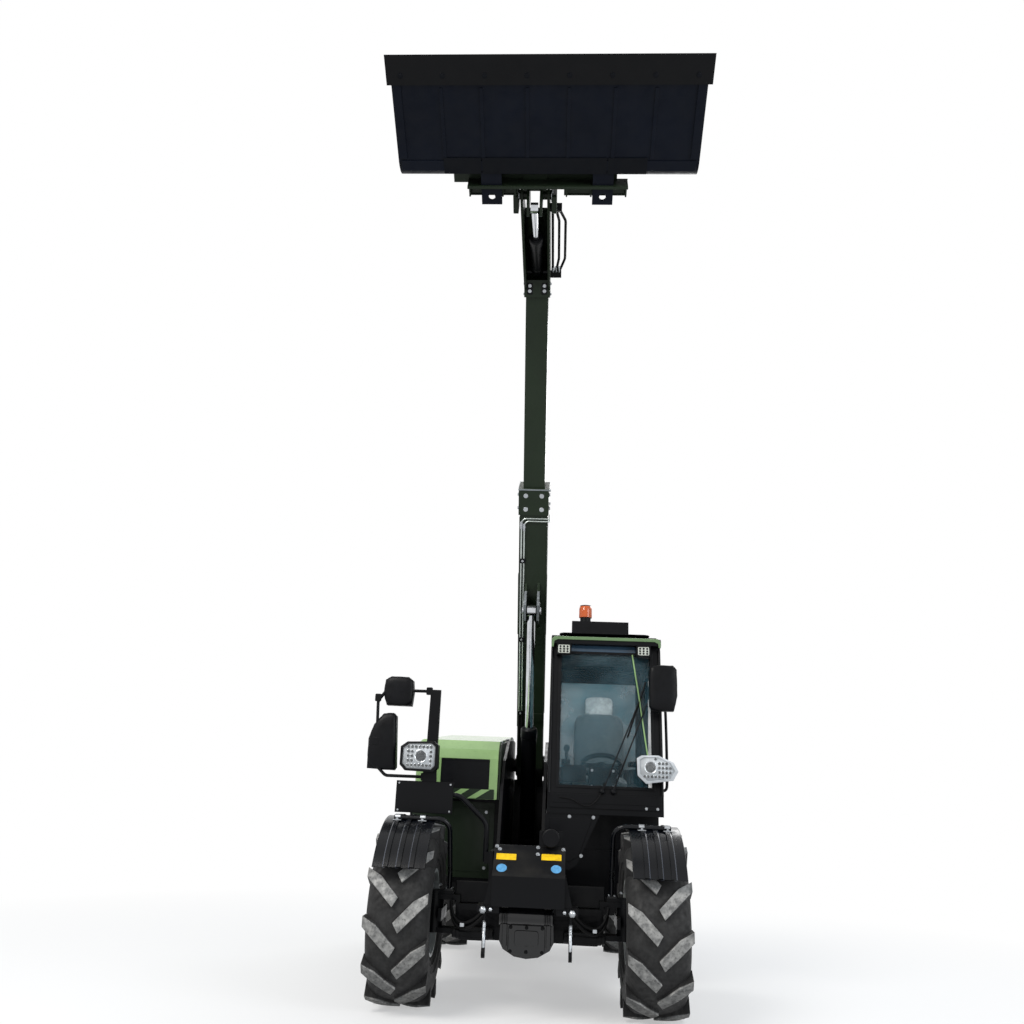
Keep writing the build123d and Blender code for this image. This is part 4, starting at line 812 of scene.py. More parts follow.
# hood-side plate with its screws, and the post behind it
plate = front(-0.831, -0.0055, 1.428)
bm = bmesh.new()
slab(bm, plate, rect(0, 0, 0.436, 0.228, 0.012), 0.0, 0.004)
piece("plate_face", bm, "black", bevel=0.0015, segments=1)
places = [(at(plate, a, b, 0.004), plate[3]) for a in (-0.198, 0.198) for b in (-0.098, 0.098)]
bolts("plate_screws", places, 0.005, 0.004)
bm = bmesh.new()
slab(
    bm, front(-0.795, 0.0045, 1.66),
    [(-0.075, -0.23), (0.055, -0.23), (0.042, 0.10), (0.039, 0.57), (-0.039, 0.57), (-0.045, 0.10)],
    0.0, 0.004
)
piece("post_skin", bm, "black", bevel=0.0015, segments=1)

# ---------------------------------------------------------------- cab
CAB_X = 0.572         # the cab's middle
CAB_FRONT = 0.4695    # the panel below the windscreen
SCREEN_LOW, SCREEN_HIGH = (0.460, 1.500), (0.630, 2.730)    # y and height, on its plane
SCREEN = (P(0, *SCREEN_HIGH) - P(0, *SCREEN_LOW)).normalized()


def screen_y(z):
    """How far behind the front axle the windscreen's plane lies at a height."""
    (y0, z0), (y1, z1) = SCREEN_LOW, SCREEN_HIGH
    return y0 + (y1 - y0) * (z - z0) / (z1 - z0)


def on_screen(x, z, out=0.0):
    """A frame on the cab's leaning front face."""
    return frame_of(P(x, screen_y(z) - out, z), X, SCREEN)


# roof's pale rim over the windscreen, and its hatch
bm = bmesh.new()
rim_face = front(CAB_X, 0.548, 2.772)
slab(
    bm, rim_face,
    [
        (-0.466, -0.075), (-0.448, -0.075), (-0.442, -0.024), (-0.41, -0.010), (0.41, -0.010),
        (0.442, -0.024), (0.448, -0.060), (0.466, -0.060), (0.466, -0.005), (0.440, 0.018),
        (-0.440, 0.018), (-0.466, -0.005)
    ],
    0.0, 0.008
)
piece("roof_rim", bm, "rim_green", bevel=0.006, segments=3)
bm = bmesh.new()
slab(bm, above(CAB_X, 1.35, 2.860), rect(0, 0, 0.80, 1.10, 0.06), 0.0, 0.008)
slab(bm, above(CAB_X, 1.35, 2.868), rect(0, 0, 0.70, 0.98, 0.06), 0.0, 0.006)
piece("roof_hatch", bm, "black", bevel=0.004)

# square work lamps with pale faces
bm = bmesh.new()
for x0, x1 in ((0.151, 0.275), (0.831, 0.950)):
    cx = (x0 + x1) / 2
    face = front(cx, 0.544, 2.680)
    slab(bm, face, rect(0, 0, x1 - x0, 0.094, 0.012), 0.0, 0.008, 0)
    slab(bm, face, rect(0, 0, x1 - x0 - 0.024, 0.070, 0.010), 0.008, 0.011, 1)
    for row in (-1, 0, 1):
        for col in (-1, 0, 1):
            slab(bm, face, ring_points(col * 0.030, row * 0.021, 0.009, 12), 0.011, 0.013, 2)
piece("work_lamps", bm, "plastic lamp_face led", bevel=0.001, segments=1)

# beacon's amber dome
bm = bmesh.new()
lathe(
    bm, above(0.405, 1.0, 3.044),
    [
        (0.058, -0.004), (0.059, 0.002), (0.058, 0.080), (0.052, 0.100), (0.035, 0.107),
        (0.002, 0.108)
    ],
    40, closed=False
)
piece("beacon_dome", bm, "amber", smooth=True)
# rubber seal round the windscreen, a glossy painted sky reflection over it, the sun blind and the
# wipers
bm = bmesh.new()
outer_seal, inner_seal = (
    [(low, bottom), (high, bottom), (high, top), (low, top)]
    for low, high, bottom, top in ((0.172, 0.972, 1.545, 2.675), (0.196, 0.948, 1.568, 2.652))
)
strips(bm, [[bm.verts.new(P(x, screen_y(z) + back, z)) for x, z in outline] for outline, back in (
    (outer_seal, -0.001), (outer_seal, -0.007), (inner_seal, -0.007), (inner_seal, 0.012))])
piece("screen_seal", bm, "plastic", bevel=0.002)
bm = bmesh.new()
# an opaque strip in the blue of the sky that the glass reflects: a painted reflection
slab(bm, on_screen(0.553, 2.6945), rect(0, 0, 0.552, 0.066, 0.01), 0.0, 0.006)
piece("screen_top", bm, "painted_sky_reflection", bevel=0.002)
bm = bmesh.new()
slab(bm, on_screen(0.52, 2.535, -0.030), ring_points(0, 0, 0.5, 32), 0.0, 0.004)
blind = P(0.52, screen_y(2.535) + 0.045, 2.535)
for v in bm.verts:        # a low upright oval
    v.co = (blind.x + (v.co.x - blind.x) * 0.42, blind.y, blind.z + (v.co.z - blind.z) * 0.055)
piece("sun_blind", bm, "plastic")
WIPERS = ((0.545, 1.520, 0.853, 2.257), (0.635, 1.535, 0.919, 2.243))
for number, (x0, z0, x1, z1) in enumerate(WIPERS):
    start = P(x0, screen_y(z0) - 0.030, z0)
    end = P(x1, screen_y(z1) - 0.022, z1)
    knee = start.lerp(end, 0.45) - Y * 0.030
    tube(f"wiper_arm_{number}", [start, knee, end], 0.0065, "plastic")
    if number == 0:
        low = P(x1 - 0.10, screen_y(z1 - 0.30) - 0.008, z1 - 0.30)
        high = P(x1 + 0.06, screen_y(z1 + 0.17) - 0.008, z1 + 0.17)
        tube("wiper_blade", [low, low.lerp(high, 0.5), high], 0.008, "plastic")
bm = bmesh.new()
for x in (0.545, 0.635):
    lathe(
        bm, on_screen(x, 1.522), [(0.024, 0.0), (0.024, 0.026), (0.014, 0.038), (0.008, 0.040)], 20
    )
piece("wiper_hubs", bm, "plastic", smooth=True)

# thin pale green tube down the windscreen beside the pillar: a painted reflection streak drawn as a
# pipe
run = ((0.80, 2.655), (0.806, 2.60), (0.853, 2.29), (0.882, 2.06), (0.912, 1.833), (0.925, 1.76))
tube("pale_reflection_streak", [P(x, screen_y(z) - 0.020, z) for x, z in run], 0.0065, "light_green")
# sill under the windscreen, with a drooping cable; pillar edges
bm = bmesh.new()
slab(bm, front(CAB_X, 0.460, 1.450), rect(0, 0, 0.900, 0.120, 0.010), 0.0, 0.010)
slab(bm, front(CAB_X, 0.460, 1.450), rect(0, 0.012, 0.86, 0.07, 0.008), 0.010, 0.013)
piece("cab_sill", bm, "black", bevel=0.003)
bolts("sill_bolts", [(P(x, 0.4495, 1.405), -Y) for x in (0.90, 0.99)], 0.008, 0.007)
run = ((0.20, 0.444, 1.468), (0.29, 0.436, 1.466), (0.36, 0.434, 1.425), (0.43, 0.434, 1.400),
       (0.49, 0.434, 1.440), (0.535, 0.434, 1.500), (0.565, 0.436, 1.60))
tube("sill_cable", [P(*spot) for spot in run], 0.0045, "hose")
for number, x in enumerate((0.116, 1.028)):
    points = [P(x, screen_y(z) - 0.002, z) for z in (1.50, 1.9, 2.3, 2.70)]
    tube(f"pillar_edge_{number}", points, 0.013, "black", order=2)

# front panel's bolts and rib
bolts("panel_bolts", [(P(x, CAB_FRONT, z), -Y) for x, z in
                      ((0.286, 1.322), (0.478, 1.322), (0.384, 1.029))],
      0.010, 0.009)
bm = bmesh.new()
slab(
    bm, front(0.300, CAB_FRONT, 1.170),
    [(-0.17, 0.14), (-0.17, -0.15), (-0.02, -0.19), (0.06, -0.15), (0.17, 0.14)], 0.0, 0.005
)
piece("panel_rib", bm, "black", bevel=0.002)

# inside: padded seat with a headrest, armrests, floor mat, joystick, dash box and deck
for name, (cx, cy, cz), (sx, sy, sz), turn in (
    ("seat_cushion", (CAB_X, 1.545, 1.585), (0.50, 0.48, 0.15), 0.05),
    ("seat_back", (CAB_X, 1.795, 1.935), (0.48, 0.15, 0.62), -0.11),
    ("seat_headrest", (CAB_X, 1.860, 2.310), (0.27, 0.10, 0.20), -0.11),
):
    bm = bmesh.new()
    bmesh.ops.create_cube(bm, size=1.0)
    bmesh.ops.subdivide_edges(bm, edges=bm.edges, cuts=9, use_grid_fill=True)
    for v in bm.verts:
        q = v.co.copy()
        r = [abs(c) * 2 for c in q]
        soft = 1.0 - 0.10 * (r[0] ** 4 * r[1] ** 4 + r[1] ** 4 * r[2] ** 4 + r[0] ** 4 * r[2] ** 4)
        v.co = Vector((q.x * sx, q.y * sy, q.z * sz)) * soft
        groove = 0.012 * math.exp(-((q.x * sx) / 0.012) ** 2) if name != "seat_headrest" else 0.0
        bulge = 0.018 * math.sin(math.pi * (q.x + 0.5)) - groove
        if sz < 0.2:
            v.co.z += (bulge - 0.01 * (0.5 - q.y)) if q.z > 0.3 else 0
        else:
            v.co.y -= bulge if q.y < -0.3 else 0
    for face in bm.faces:
        face.smooth = True
    bmesh.ops.transform(
        bm, matrix=Matrix.Translation(P(cx, cy, cz)) @ Matrix.Rotation(turn, 4, "X"), verts=bm.verts
    )
    obj = piece(name, bm, "headrest" if name == "seat_headrest" else "seat", smooth=True)
    mod = obj.modifiers.new("soft", "SUBSURF")
    mod.levels = mod.render_levels = 1
bm = bmesh.new()
for x in (-0.06, 0.06):
    lathe(bm, frame_of(P(CAB_X + x, 1.850, 2.13), X, Y), [(0.007, -0.02), (0.007, 0.14)], 12)
piece("headrest_posts", bm, "chrome_trim", smooth=True)
bm = bmesh.new()
for side in (-1, 1):
    slab(bm, above(CAB_X + side * 0.315, 1.56, 1.60), rect(0, 0, 0.10, 0.50, 0.03), 0.0, 0.13)
    slab(bm, above(CAB_X + side * 0.315, 1.62, 1.76), rect(0, 0, 0.08, 0.30, 0.03), 0.0, 0.045)
slab(bm, above(CAB_X, 1.20, 1.106), rect(0, 0, 0.80, 0.60, 0.03), 0.0, 0.012)
slab(bm, front(0.32, 0.62, 1.66), rect(0, 0, 0.20, 0.14, 0.015), -0.05, 0.0)
piece("cab_fittings", bm, "plastic", bevel=0.008)
tube(
    "joystick", [P(0.26, 1.42, 1.73), P(0.26, 1.415, 1.80), P(0.262, 1.40, 1.88)], 0.014, "plastic"
)
bm = bmesh.new()
ball = above(0.262, 1.40, 1.90)
lathe(
    bm, ball,
    [
        (0.004, -0.034), (0.020, -0.030), (0.028, -0.012), (0.029, 0.008), (0.020, 0.026),
        (0.004, 0.032)
    ],
    24
)
piece("joystick_knob", bm, "plastic", smooth=True)
bm = bmesh.new()
slab(bm, front(0.565, 0.80, 1.63), rect(0, 0, 0.24, 0.19, 0.03), -0.06, 0.0)
piece("dash_box", bm, "plastic", bevel=0.008)
bolts(
    "dash_bolts",
    [(P(0.565 + dx, 0.7995, 1.63 + dz), -Y) for dx in (-0.09, 0.09) for dz in (-0.065, 0.065)],
    0.008, 0.006
)
bm = bmesh.new()
slab(bm, above(CAB_X, 0.72, 1.392), rect(0, 0, 0.84, 0.40, 0.01), 0.0, 0.010)
piece("deck_lining", bm, "pale_floor", bevel=0.002)

# door's handle and hinge pins, grab rail, steps, filler cap
bm = bmesh.new()
slab(bm, left(1.0405, 0.86, 1.47), rect(0, 0, 0.16, 0.07, 0.012), 0.0, 0.008)
slab(bm, left(1.0485, 0.86, 1.47), rect(0.005, 0, 0.11, 0.026, 0.010), 0.0, 0.030)
piece("door_handle", bm, "plastic", "door", bevel=0.004)
bm = bmesh.new()
for z in (1.33, 2.47):
    lathe(bm, above(1.053, 1.794, z), [(0.009, -0.062), (0.009, 0.062)], 16)
piece("door_hinge_pins", bm, "zinc", "door", smooth=True)
run = ((1.055, 0.66, 1.55), (1.085, 0.66, 1.55), (1.095, 0.675, 1.62), (1.095, 0.74, 2.20),
       (1.085, 0.755, 2.28), (1.045, 0.755, 2.28))
tube("grab_rail", [P(*spot) for spot in run], 0.012, "black")
bm = bmesh.new()
for z in (0.70, 0.86):
    step = above(0.90, 1.36, z)
    slab(bm, step, rect(0, 0, 0.20, 0.46, 0.01), 0.0, 0.010)
    for k in range(9):
        slab(bm, step, rect(0, -0.20 + 0.05 * k, 0.17, 0.018), 0.010, 0.016)
piece("steps", bm, "black", bevel=0.002, segments=1)
bm = bmesh.new()
lathe(
    bm, left(0.9595, 1.02, 0.95),
    [
        (0.045, -0.002), (0.045, 0.012), (0.038, 0.018), (0.038, 0.034), (0.030, 0.038),
        (0.004, 0.039)
    ],
    32
)
piece("filler_cap", bm, "plastic", smooth=True, bevel=0.001)

# ---------------------------------------------------------------- hood
# lower dark zone with three pale slanted stripes
bm = bmesh.new()
low_front = front(-0.640, 0.6195, 1.470)
slab(bm, low_front, rect(0, -0.004, 0.60, 0.078, 0.006), 0.0, 0.003, 0)
for a in (-0.20, -0.03, 0.14):
    slab(
        bm, low_front,
        [(a - 0.060, -0.040), (a + 0.010, -0.040), (a + 0.125, 0.032), (a + 0.055, 0.032)], 0.003,
        0.0042, 1
    )
piece("hood_stripes", bm, "dark_green light_green", "hood_lid")
# bars and mesh in the grilles
bm = bmesh.new()
mesh_front, mesh_side = front(-0.590, 0.6495, 1.610), right(-1.002, 1.300, 1.610)
for local, width, count in ((mesh_front, 0.406, 17), (mesh_side, 0.696, 29)):
    for k in range(count):
        slab(bm, local, rect(0.024 * (k - (count - 1) / 2), 0, 0.005, 0.266), 0.0005, 0.005)
    for k in range(12):
        slab(bm, local, rect(0, -0.121 + 0.022 * k, width, 0.005), 0.005, 0.009)
for b in (0.129, -0.129):
    slab(bm, mesh_front, rect(0, b, 0.406, 0.012), 0.0005, 0.016)
piece("grille_mesh", bm, "plastic", "hood_lid")
bm = bmesh.new()
for y in (0.90, 2.60):
    slab(bm, right(-1.0105, y, 1.50), rect(0, 0, 0.11, 0.045, 0.015), 0.0, 0.006)
    slab(bm, right(-1.0165, y, 1.50), rect(0, 0, 0.07, 0.018, 0.008), 0.0, 0.012)
piece("hood_latches", bm, "plastic", "hood_lid", bevel=0.003)
bm = bmesh.new()
for y in (1.05, 1.95, 2.80):
    z = 1.90 + (y - 0.78) * 0.0769
    lathe(bm, frame_of(P(-0.312, y - 0.05, z - 0.012), X, Z), [(0.012, -0.10), (0.012, 0.0)], 16)
piece("hood_hinges", bm, "zinc", "hood_lid", smooth=True)
# dark green body below the hood, in front of the engine bay
bm = bmesh.new()
slab(bm, front(-0.690, 0.829, 1.10), rect(0, 0, 0.70, 0.60, 0.02), 0.0, 0.006)
slab(bm, front(-0.690, 0.823, 1.10), rect(0, 0, 0.62, 0.50, 0.02), 0.0, 0.004)
slab(bm, right(-1.0605, 1.36, 1.10), rect(0, 0, 0.98, 0.58, 0.02), 0.0, 0.006)
piece("bay_skin", bm, "dark_green", bevel=0.003)
bolts("bay_bolts", [(P(x, 0.8185, z), -Y) for x in (-0.97, -0.41) for z in (0.88, 1.10, 1.32)]
      + [(P(-1.0670, y, z), -X) for y in (0.93, 1.36, 1.79) for z in (0.86, 1.34)],
      0.009, 0.007)

# ---------------------------------------------------------------- boom
# front collar: pale lip, low rivets on the underside, bolts on the sides
bm = bmesh.new()
for u, flip in ((-COLLAR_H, 1), (COLLAR_H, -1)):
    local = frame_of(boom(2.944, u, 0), X * flip, ALONG)
    slab(bm, local, rect(0, 0, 0.284, 0.014), 0.0, 0.004)
for side in (-1, 1):
    slab(bm, boom_side(2.944, 0, COLLAR_W, side), rect(0, 0, 0.336, 0.014), 0.0, 0.004)
piece("collar_lip", bm, "worn_steel", "boom", bevel=0.001, segments=1)
places = [(boom(s, -COLLAR_H, x), -SQUARE) for s in (2.755, 2.885) for x in (-0.075, 0.075)]
bolts("collar_rivets", places, 0.015, 0.003, body="boom")
places = [
    (boom(s, u, side * COLLAR_W), X * side) for side in (-1, 1) for s in (2.755, 2.885)
    for u in (-0.10, 0.10)
]
bolts("collar_bolts", places, 0.015, 0.013, body="boom")
# weld seams and stiffening plates along the outer tube
bm = bmesh.new()
slab(bm, under(0.62), rect(0, 0, 0.24, 0.09, 0.01), 0.0, 0.008)
slab(bm, under(1.45, 0.05), rect(0, 0, 0.14, 0.10, 0.02), 0.0, 0.007)
for side in (-1, 1):
    slab(bm, boom_side(1.80, -0.115, BOOM_W, side), rect(0, 0, 0.07, 0.62, 0.02), 0.0, 0.010)
    local = boom_side(0.0, 0.0, BOOM_W, side)
    lathe(bm, local, [(0.105, 0.0), (0.105, 0.012), (0.095, 0.016), (0.060, 0.016)], 40)
piece("boom_plates", bm, "dark_green", "boom", bevel=0.003)
for number, (x, u) in enumerate(
    ((-BOOM_W, -BOOM_H), (BOOM_W, -BOOM_H), (-BOOM_W, BOOM_H), (BOOM_W, BOOM_H))
):
    tube(f"boom_weld_{number}", [boom(s, u, x * 0.985) for s in (0.52, 1.6, 2.68)], 0.006,
         "dark_green", "boom", order=2, sides=3)
# pipe couplings at the collar and the foot, and two hoses that run on from the foot
bm = bmesh.new()
for x, s in zip(PIPES, (2.58, 2.60)):
    local = frame_of(boom(s, PIPE_U, x), X, SQUARE)
    for low, high, r in ((-0.036, -0.012, 0.014), (-0.012, 0.012, 0.0165), (0.012, 0.036, 0.014)):
        slab(bm, local, ring_points(0, 0, r, 6), low, high)
for x in PIPES:
    local = frame_of(boom(0.665, PIPE_U, x), X, SQUARE)
    slab(bm, local, ring_points(0, 0, 0.014, 6), -0.02, 0.02)
piece("pipe_couplings", bm, "zinc", "boom", bevel=0.001, segments=1)
for number, x in enumerate(PIPES):
    run = ((0.66, PIPE_U), (0.56, -0.168), (0.44, -0.190), (0.30, -0.200))
    tube(f"boom_foot_hose_{number}", [boom(s, u, x) for s, u in run], 0.011, "hose", "boom")
bm = bmesh.new()
for s in (0.670, 1.450, 2.250):
    slab(bm, under(s, -0.098, -0.1715), rect(0, 0, 0.060, 0.044, 0.006), 0.0, 0.008)
piece("pipe_clamp_caps", bm, "plastic", "boom", bevel=0.002)
bolts(
    "clamp_bolts", [(boom(s, -0.1795, -0.099), -SQUARE) for s in (0.670, 1.450, 2.250)], 0.008,
    0.008, body="boom"
)


def edge_strip(bm, p, q, away, width, height, extra=0.0):
    """A thin strip from p to q, on the side that looks away along the given direction."""
    along = (q - p).normalized()
    out = along.cross(X)
    if out.dot(away) <= 0:
        out = -out
    slab(
        bm, facing((p + q) / 2, out, along), rect(0, 0, width, (q - p).length + extra), 0.0, height
    )


# pin lugs' pale edges, pin heads and their keepers
bm = bmesh.new()
LUG = [(1.575, -0.1555), (1.725, -0.3655), (1.875, -0.3655), (2.025, -0.1555)]
for side in (-1, 1):
    for p, q in zip(LUG, LUG[1:]):
        edge_strip(
            bm, boom(*p, side * 0.061), boom(*q, side * 0.061), -SQUARE, 0.0225, 0.0015, 0.002
        )
piece("lug_edges", bm, "worn_steel", "boom")
bm = bmesh.new()
for side in (-1, 1):
    local = boom_side(*LIFT_PIN, 0.072, side)
    lathe(bm, local, [(0.034, 0.0), (0.034, 0.014), (0.030, 0.018), (0.004, 0.019)], 32)
    slab(bm, local, rect(0.0, 0.055, 0.024, 0.070, 0.008), 0.0, 0.006)
piece("lift_pin", bm, "zinc", "boom", bevel=0.0015)
# lift cylinder: gland, rings and pipe
LIFT_BASE, LIFT_EYE = P(BOOM_X, 2.20, 0.85), boom(*LIFT_PIN)
axis = (LIFT_EYE - LIFT_BASE).normalized()
ring = frame_of(LIFT_BASE, X, axis.cross(X))
bm = bmesh.new()
lathe(
    bm, ring, [(0.0735, 1.24), (0.078, 1.245), (0.078, 1.325), (0.070, 1.336), (0.040, 1.337)], 40,
    closed=False
)
for low in (0.08, 0.20):
    lathe(
        bm, ring,
        [(0.0725, low), (0.0755, low + 0.005), (0.0755, low + 0.05), (0.0725, low + 0.055)], 40,
        closed=False
    )
piece("lift_gland", bm, "black", "lift_barrel", smooth=True, bevel=0.001)
run = ((-0.055, 0.060, 0.14), (-0.06, 0.075, 0.20), (-0.06, 0.078, 0.60), (-0.06, 0.075, 1.18),
       (-0.05, 0.060, 1.26))
tube("lift_pipe", [at(ring, *spot) for spot in run], 0.008, "steel", "lift_barrel")

# ---------------------------------------------------------------- head and hitch
HEAD = 4.70           # where the inner tube ends and the head begins, along the boom
bm = bmesh.new()
for side in (-1, 1):
    local = facing(tool(0, 0, BOOM_X + side * 0.1292), X * side, TOOL_SQUARE)
    lathe(
        bm, local,
        [
            (0.055, -0.004), (0.055, 0.006), (0.050, 0.010), (0.022, 0.011), (0.018, 0.005),
            (0.002, 0.005)
        ],
        36
    )
piece("tool_pin_caps", bm, "zinc", "telescope", bevel=0.001)
# the hitch's beam below the bucket's heel, its ends, and the bosses round the tool's pivot
bm = bmesh.new()
for x0, x1, a0 in ((-0.612, -0.232, 0.030), (-0.232, 0.125, 0.098), (0.125, 0.610, 0.030)):
    slab(
        bm, tool_face((a0 + 0.150) / 2, -0.060, (x0 + x1) / 2), rect(0, 0, x1 - x0, 0.150 - a0),
        0.0, 0.020
    )
slab(bm, tool_face(0.139, -0.060, -0.001), rect(0, 0, 1.222, 0.022), 0.0, 0.165)
for x in (-0.600, -0.345, -0.250, 0.145, 0.332, 0.598):
    slab(bm, tool_face(0.098, -0.070, x), rect(0, 0, 0.012, 0.100), 0.0, 0.10)
for x0, x1 in ((-0.612, -0.232), (0.125, 0.610)):
    slab(bm, tool_face(0.035, -0.080, (x0 + x1) / 2), rect(0, 0, x1 - x0, 0.010), 0.0, 0.012)
for side in (-1, 1):
    local = facing(tool(-0.045, -0.015, BOOM_X + side * 0.1305), X * side, TOOL_SQUARE)
    slab(bm, local, rect(0, 0, 0.15, 0.17, 0.02), 0.0, 0.040)
piece("hitch_beam", bm, "dark_green", "tool", bevel=0.003)
# pale worn edges on the carriage's ribs and beam
bm = bmesh.new()
for side in (-1, 1):
    x = BOOM_X + side * 0.050
    for p, q in (((-0.055, 0.06), (-0.08, -0.15)), ((-0.08, -0.15), (-0.08, -0.23))):
        edge_strip(bm, tool(*p, x), tool(*q, x), -TOOL_ALONG, 0.0195, 0.0012)
piece("hitch_edges", bm, "worn_steel", "tool")
# pads and bolts where the inner tube ends and the head begins
bm = bmesh.new()
for x in (-0.065, 0.065):
    slab(bm, under(HEAD + 0.07, x, -0.1425), rect(0, 0, 0.05, 0.10, 0.008), 0.0, 0.008)
piece("head_pads", bm, "plastic", "telescope", bevel=0.002)
bolts(
    "head_bolts",
    [
        (boom(HEAD + ds, -0.1425 - 0.008, x), -SQUARE) for ds in (0.05, 0.095)
        for x in (-0.065, 0.065)
    ]
    + [
        (boom(HEAD + 0.07 + ds, u, side * 0.115), X * side) for side in (-1, 1)
        for ds in (-0.045, 0.045) for u in (-0.09, 0.09)
    ],
    0.011, 0.009, body="telescope"
)
# couplings on the end blocks of the head's hoses
bm = bmesh.new()
upper = (boom(HEAD + 0.33, -0.20) - boom(HEAD + 0.215, -0.08)).normalized()
lower = (boom(5.318, -0.570) - boom(5.398, -0.710)).normalized()
for x in (0.1353, 0.1623, 0.1893):
    for s, u, along in ((HEAD + 0.232, -0.098, upper), (5.402, -0.707, lower)):
        local = facing(boom(s, u, x), along, X)
        slab(bm, local, ring_points(0, 0, 0.0145, 6), -0.018, 0.012)
        lathe(bm, local, [(0.0125, 0.012), (0.0125, 0.040)], 16)
piece("hose_couplings", bm, "zinc", "telescope", bevel=0.001, segments=1)
# tilt cylinder's gland and ring
TILT_BASE, TILT_EYE = boom(4.92, -0.11), tool(-0.03, -0.19, BOOM_X)
axis = (TILT_EYE - TILT_BASE).normalized()
ring = frame_of(TILT_BASE, X, axis.cross(X))
bm = bmesh.new()
lathe(
    bm, ring, [(0.056, 0.50), (0.060, 0.505), (0.060, 0.585), (0.052, 0.595), (0.030, 0.596)], 36,
    closed=False
)
lathe(bm, ring, [(0.055, 0.06), (0.058, 0.065), (0.058, 0.11), (0.055, 0.115)], 36, closed=False)
piece("tilt_gland", bm, "black", "tilt_barrel", smooth=True, bevel=0.001)

# ---------------------------------------------------------------- bucket
FLOOR = -0.2          # the underside, square to the tool
# skids, edge bolts, tabs and plates at the heel
bm = bmesh.new()
for x in (-0.77, -0.48, -0.15, 0.15, 0.48, 0.77):
    slab(bm, tool_face(0.60, FLOOR, x), rect(0, 0.0, 0.026, 0.50, 0.004), 0.0, 0.007)
for x in (-1.085, 1.085):
    slab(bm, tool_face(0.66, FLOOR, x), rect(0, 0, 0.060, 0.62, 0.004), 0.0, 0.009)
heel = tool_face(0.300, FLOOR, 0.0)
slab(bm, heel, rect(0, 0, 2.20, 0.075, 0.006), 0.0, 0.010)
piece("bucket_skids", bm, "bucket", "tool", bevel=0.0025)
places = [(tool(0.935, FLOOR - 0.0203, x), -TOOL_SQUARE) for x in
          [-1.05 + 2.10 * k / 7 for k in range(8)]]
bolts("edge_bolts", places, 0.014, 0.006, "bucket_dark", "tool")
bm = bmesh.new()
for side in (-1, 1):
    corner = facing(tool(0.205, -0.020, side * 1.090), -TOOL_ALONG, TOOL_SQUARE)
    slab(bm, corner, rect(0, 0, 0.045, 0.040, 0.004), 0.0, 0.004)
piece("heel_tabs", bm, "zinc", "tool", bevel=0.001)
bm = bmesh.new()
for x0, x1 in ((-0.78, -0.50), (-0.49, 0.44), (0.45, 0.74)):
    slab(bm, heel, rect((x0 + x1) / 2, 0, x1 - x0, 0.118, 0.004), 0.0, 0.013)
piece("heel_plates", bm, "bucket_dark", "tool", bevel=0.001)
bm = bmesh.new()
for side in (-1, 1):
    corner = facing(tool(0.1895, -0.030, side * 1.090), -TOOL_ALONG, TOOL_SQUARE)
    slab(bm, corner, rect(0, 0, 0.040, 0.036, 0.004), 0.004, 0.006)
piece("corner_tabs", bm, "worn_steel", "tool")
# weld beads inside the bucket, and ribs behind its back
for number, (a, b) in enumerate(((0.200, 0.10), (0.205, 0.40))):
    tube(
        f"bucket_weld_{number}", [tool(a, b, x) for x in (-1.10, 0.0, 1.10)], 0.005, "bucket",
        "tool", order=2, sides=3
    )
bm = bmesh.new()
for x in (-0.90, -0.55, -0.10, 0.35, 0.80):
    rib = facing(tool(0.245, 0.40, x), X, TOOL_SQUARE)
    slab(bm, rib, [(0.055, -0.10), (0.095, -0.10), (0.075, 0.20), (0.020, 0.20)], -0.006, 0.006)
piece("bucket_back_ribs", bm, "bucket", "tool", bevel=0.002)

# ---------------------------------------------------------------- mirrors
LONG = [(-1.300, 1.625), (-1.306, 1.850), (-1.270, 1.960), (-1.200, 2.045),
        (-1.120, 2.052), (-1.098, 2.030), (-1.075, 1.640), (-1.090, 1.617)]
WIDE = [(-1.215, 2.200), (-1.205, 2.310), (-1.160, 2.338), (-1.020, 2.336),
        (-0.985, 2.310), (-0.975, 2.220), (-0.985, 2.110), (-1.183, 2.112)]
SIDE = [(0.925, 2.215), (0.922, 2.500), (0.950, 2.545), (1.120, 2.548),
        (1.150, 2.515), (1.153, 2.300), (1.123, 2.175), (0.945, 2.172)]
for name, outline, y in (("long", LONG, 0.033), ("wide", WIDE, 0.033), ("side", SIDE, 0.398)):
    inner, cx, cz = shrink(outline, 0.93)
    full = shrink(outline, 1.0)[0]
    for _ in range(3):        # cuts the corners until the outline is round
        full = [(p[0] * (1 - t) + q[0] * t, p[1] * (1 - t) + q[1] * t)
                for p, q in zip(full, full[1:] + full[:1]) for t in (0.25, 0.75)]
    bm = bmesh.new()
    face = front(cx, y, cz)
    rings = [
        [bm.verts.new(at(face, a * 1.012 * share, b * 1.012 * share, out)) for a, b in full]
        for share,
        out in (
            (1.0, -0.012), (1.0, 0.000), (0.975, 0.010), (0.92, 0.018), (0.80, 0.024), (0.55, 0.028)
        )
    ]
    strips(bm, rings)
    bm.faces.new(rings[-1])
    piece(f"mirror_shell_{name}", bm, "plastic", smooth=True)
    bm = bmesh.new()
    pane = rear(cx, y + 0.072, cz)
    slab(bm, pane, [(-a, b) for a, b in inner], 0.0, 0.003)
    piece(f"mirror_glass_{name}", bm, "mirror", bevel=0.001)
bm = bmesh.new()
for x, y, z in (
    (-1.243, 0.025, 1.83), (-1.250, 0.025, 2.165), (-0.845, 0.025, 1.576), (-0.845, 0.025, 2.228)
):
    slab(bm, front(x, y - 0.012, z), rect(0, 0, 0.050, 0.060, 0.010), -0.002, 0.010)
piece("mirror_clamps", bm, "plastic", bevel=0.003)

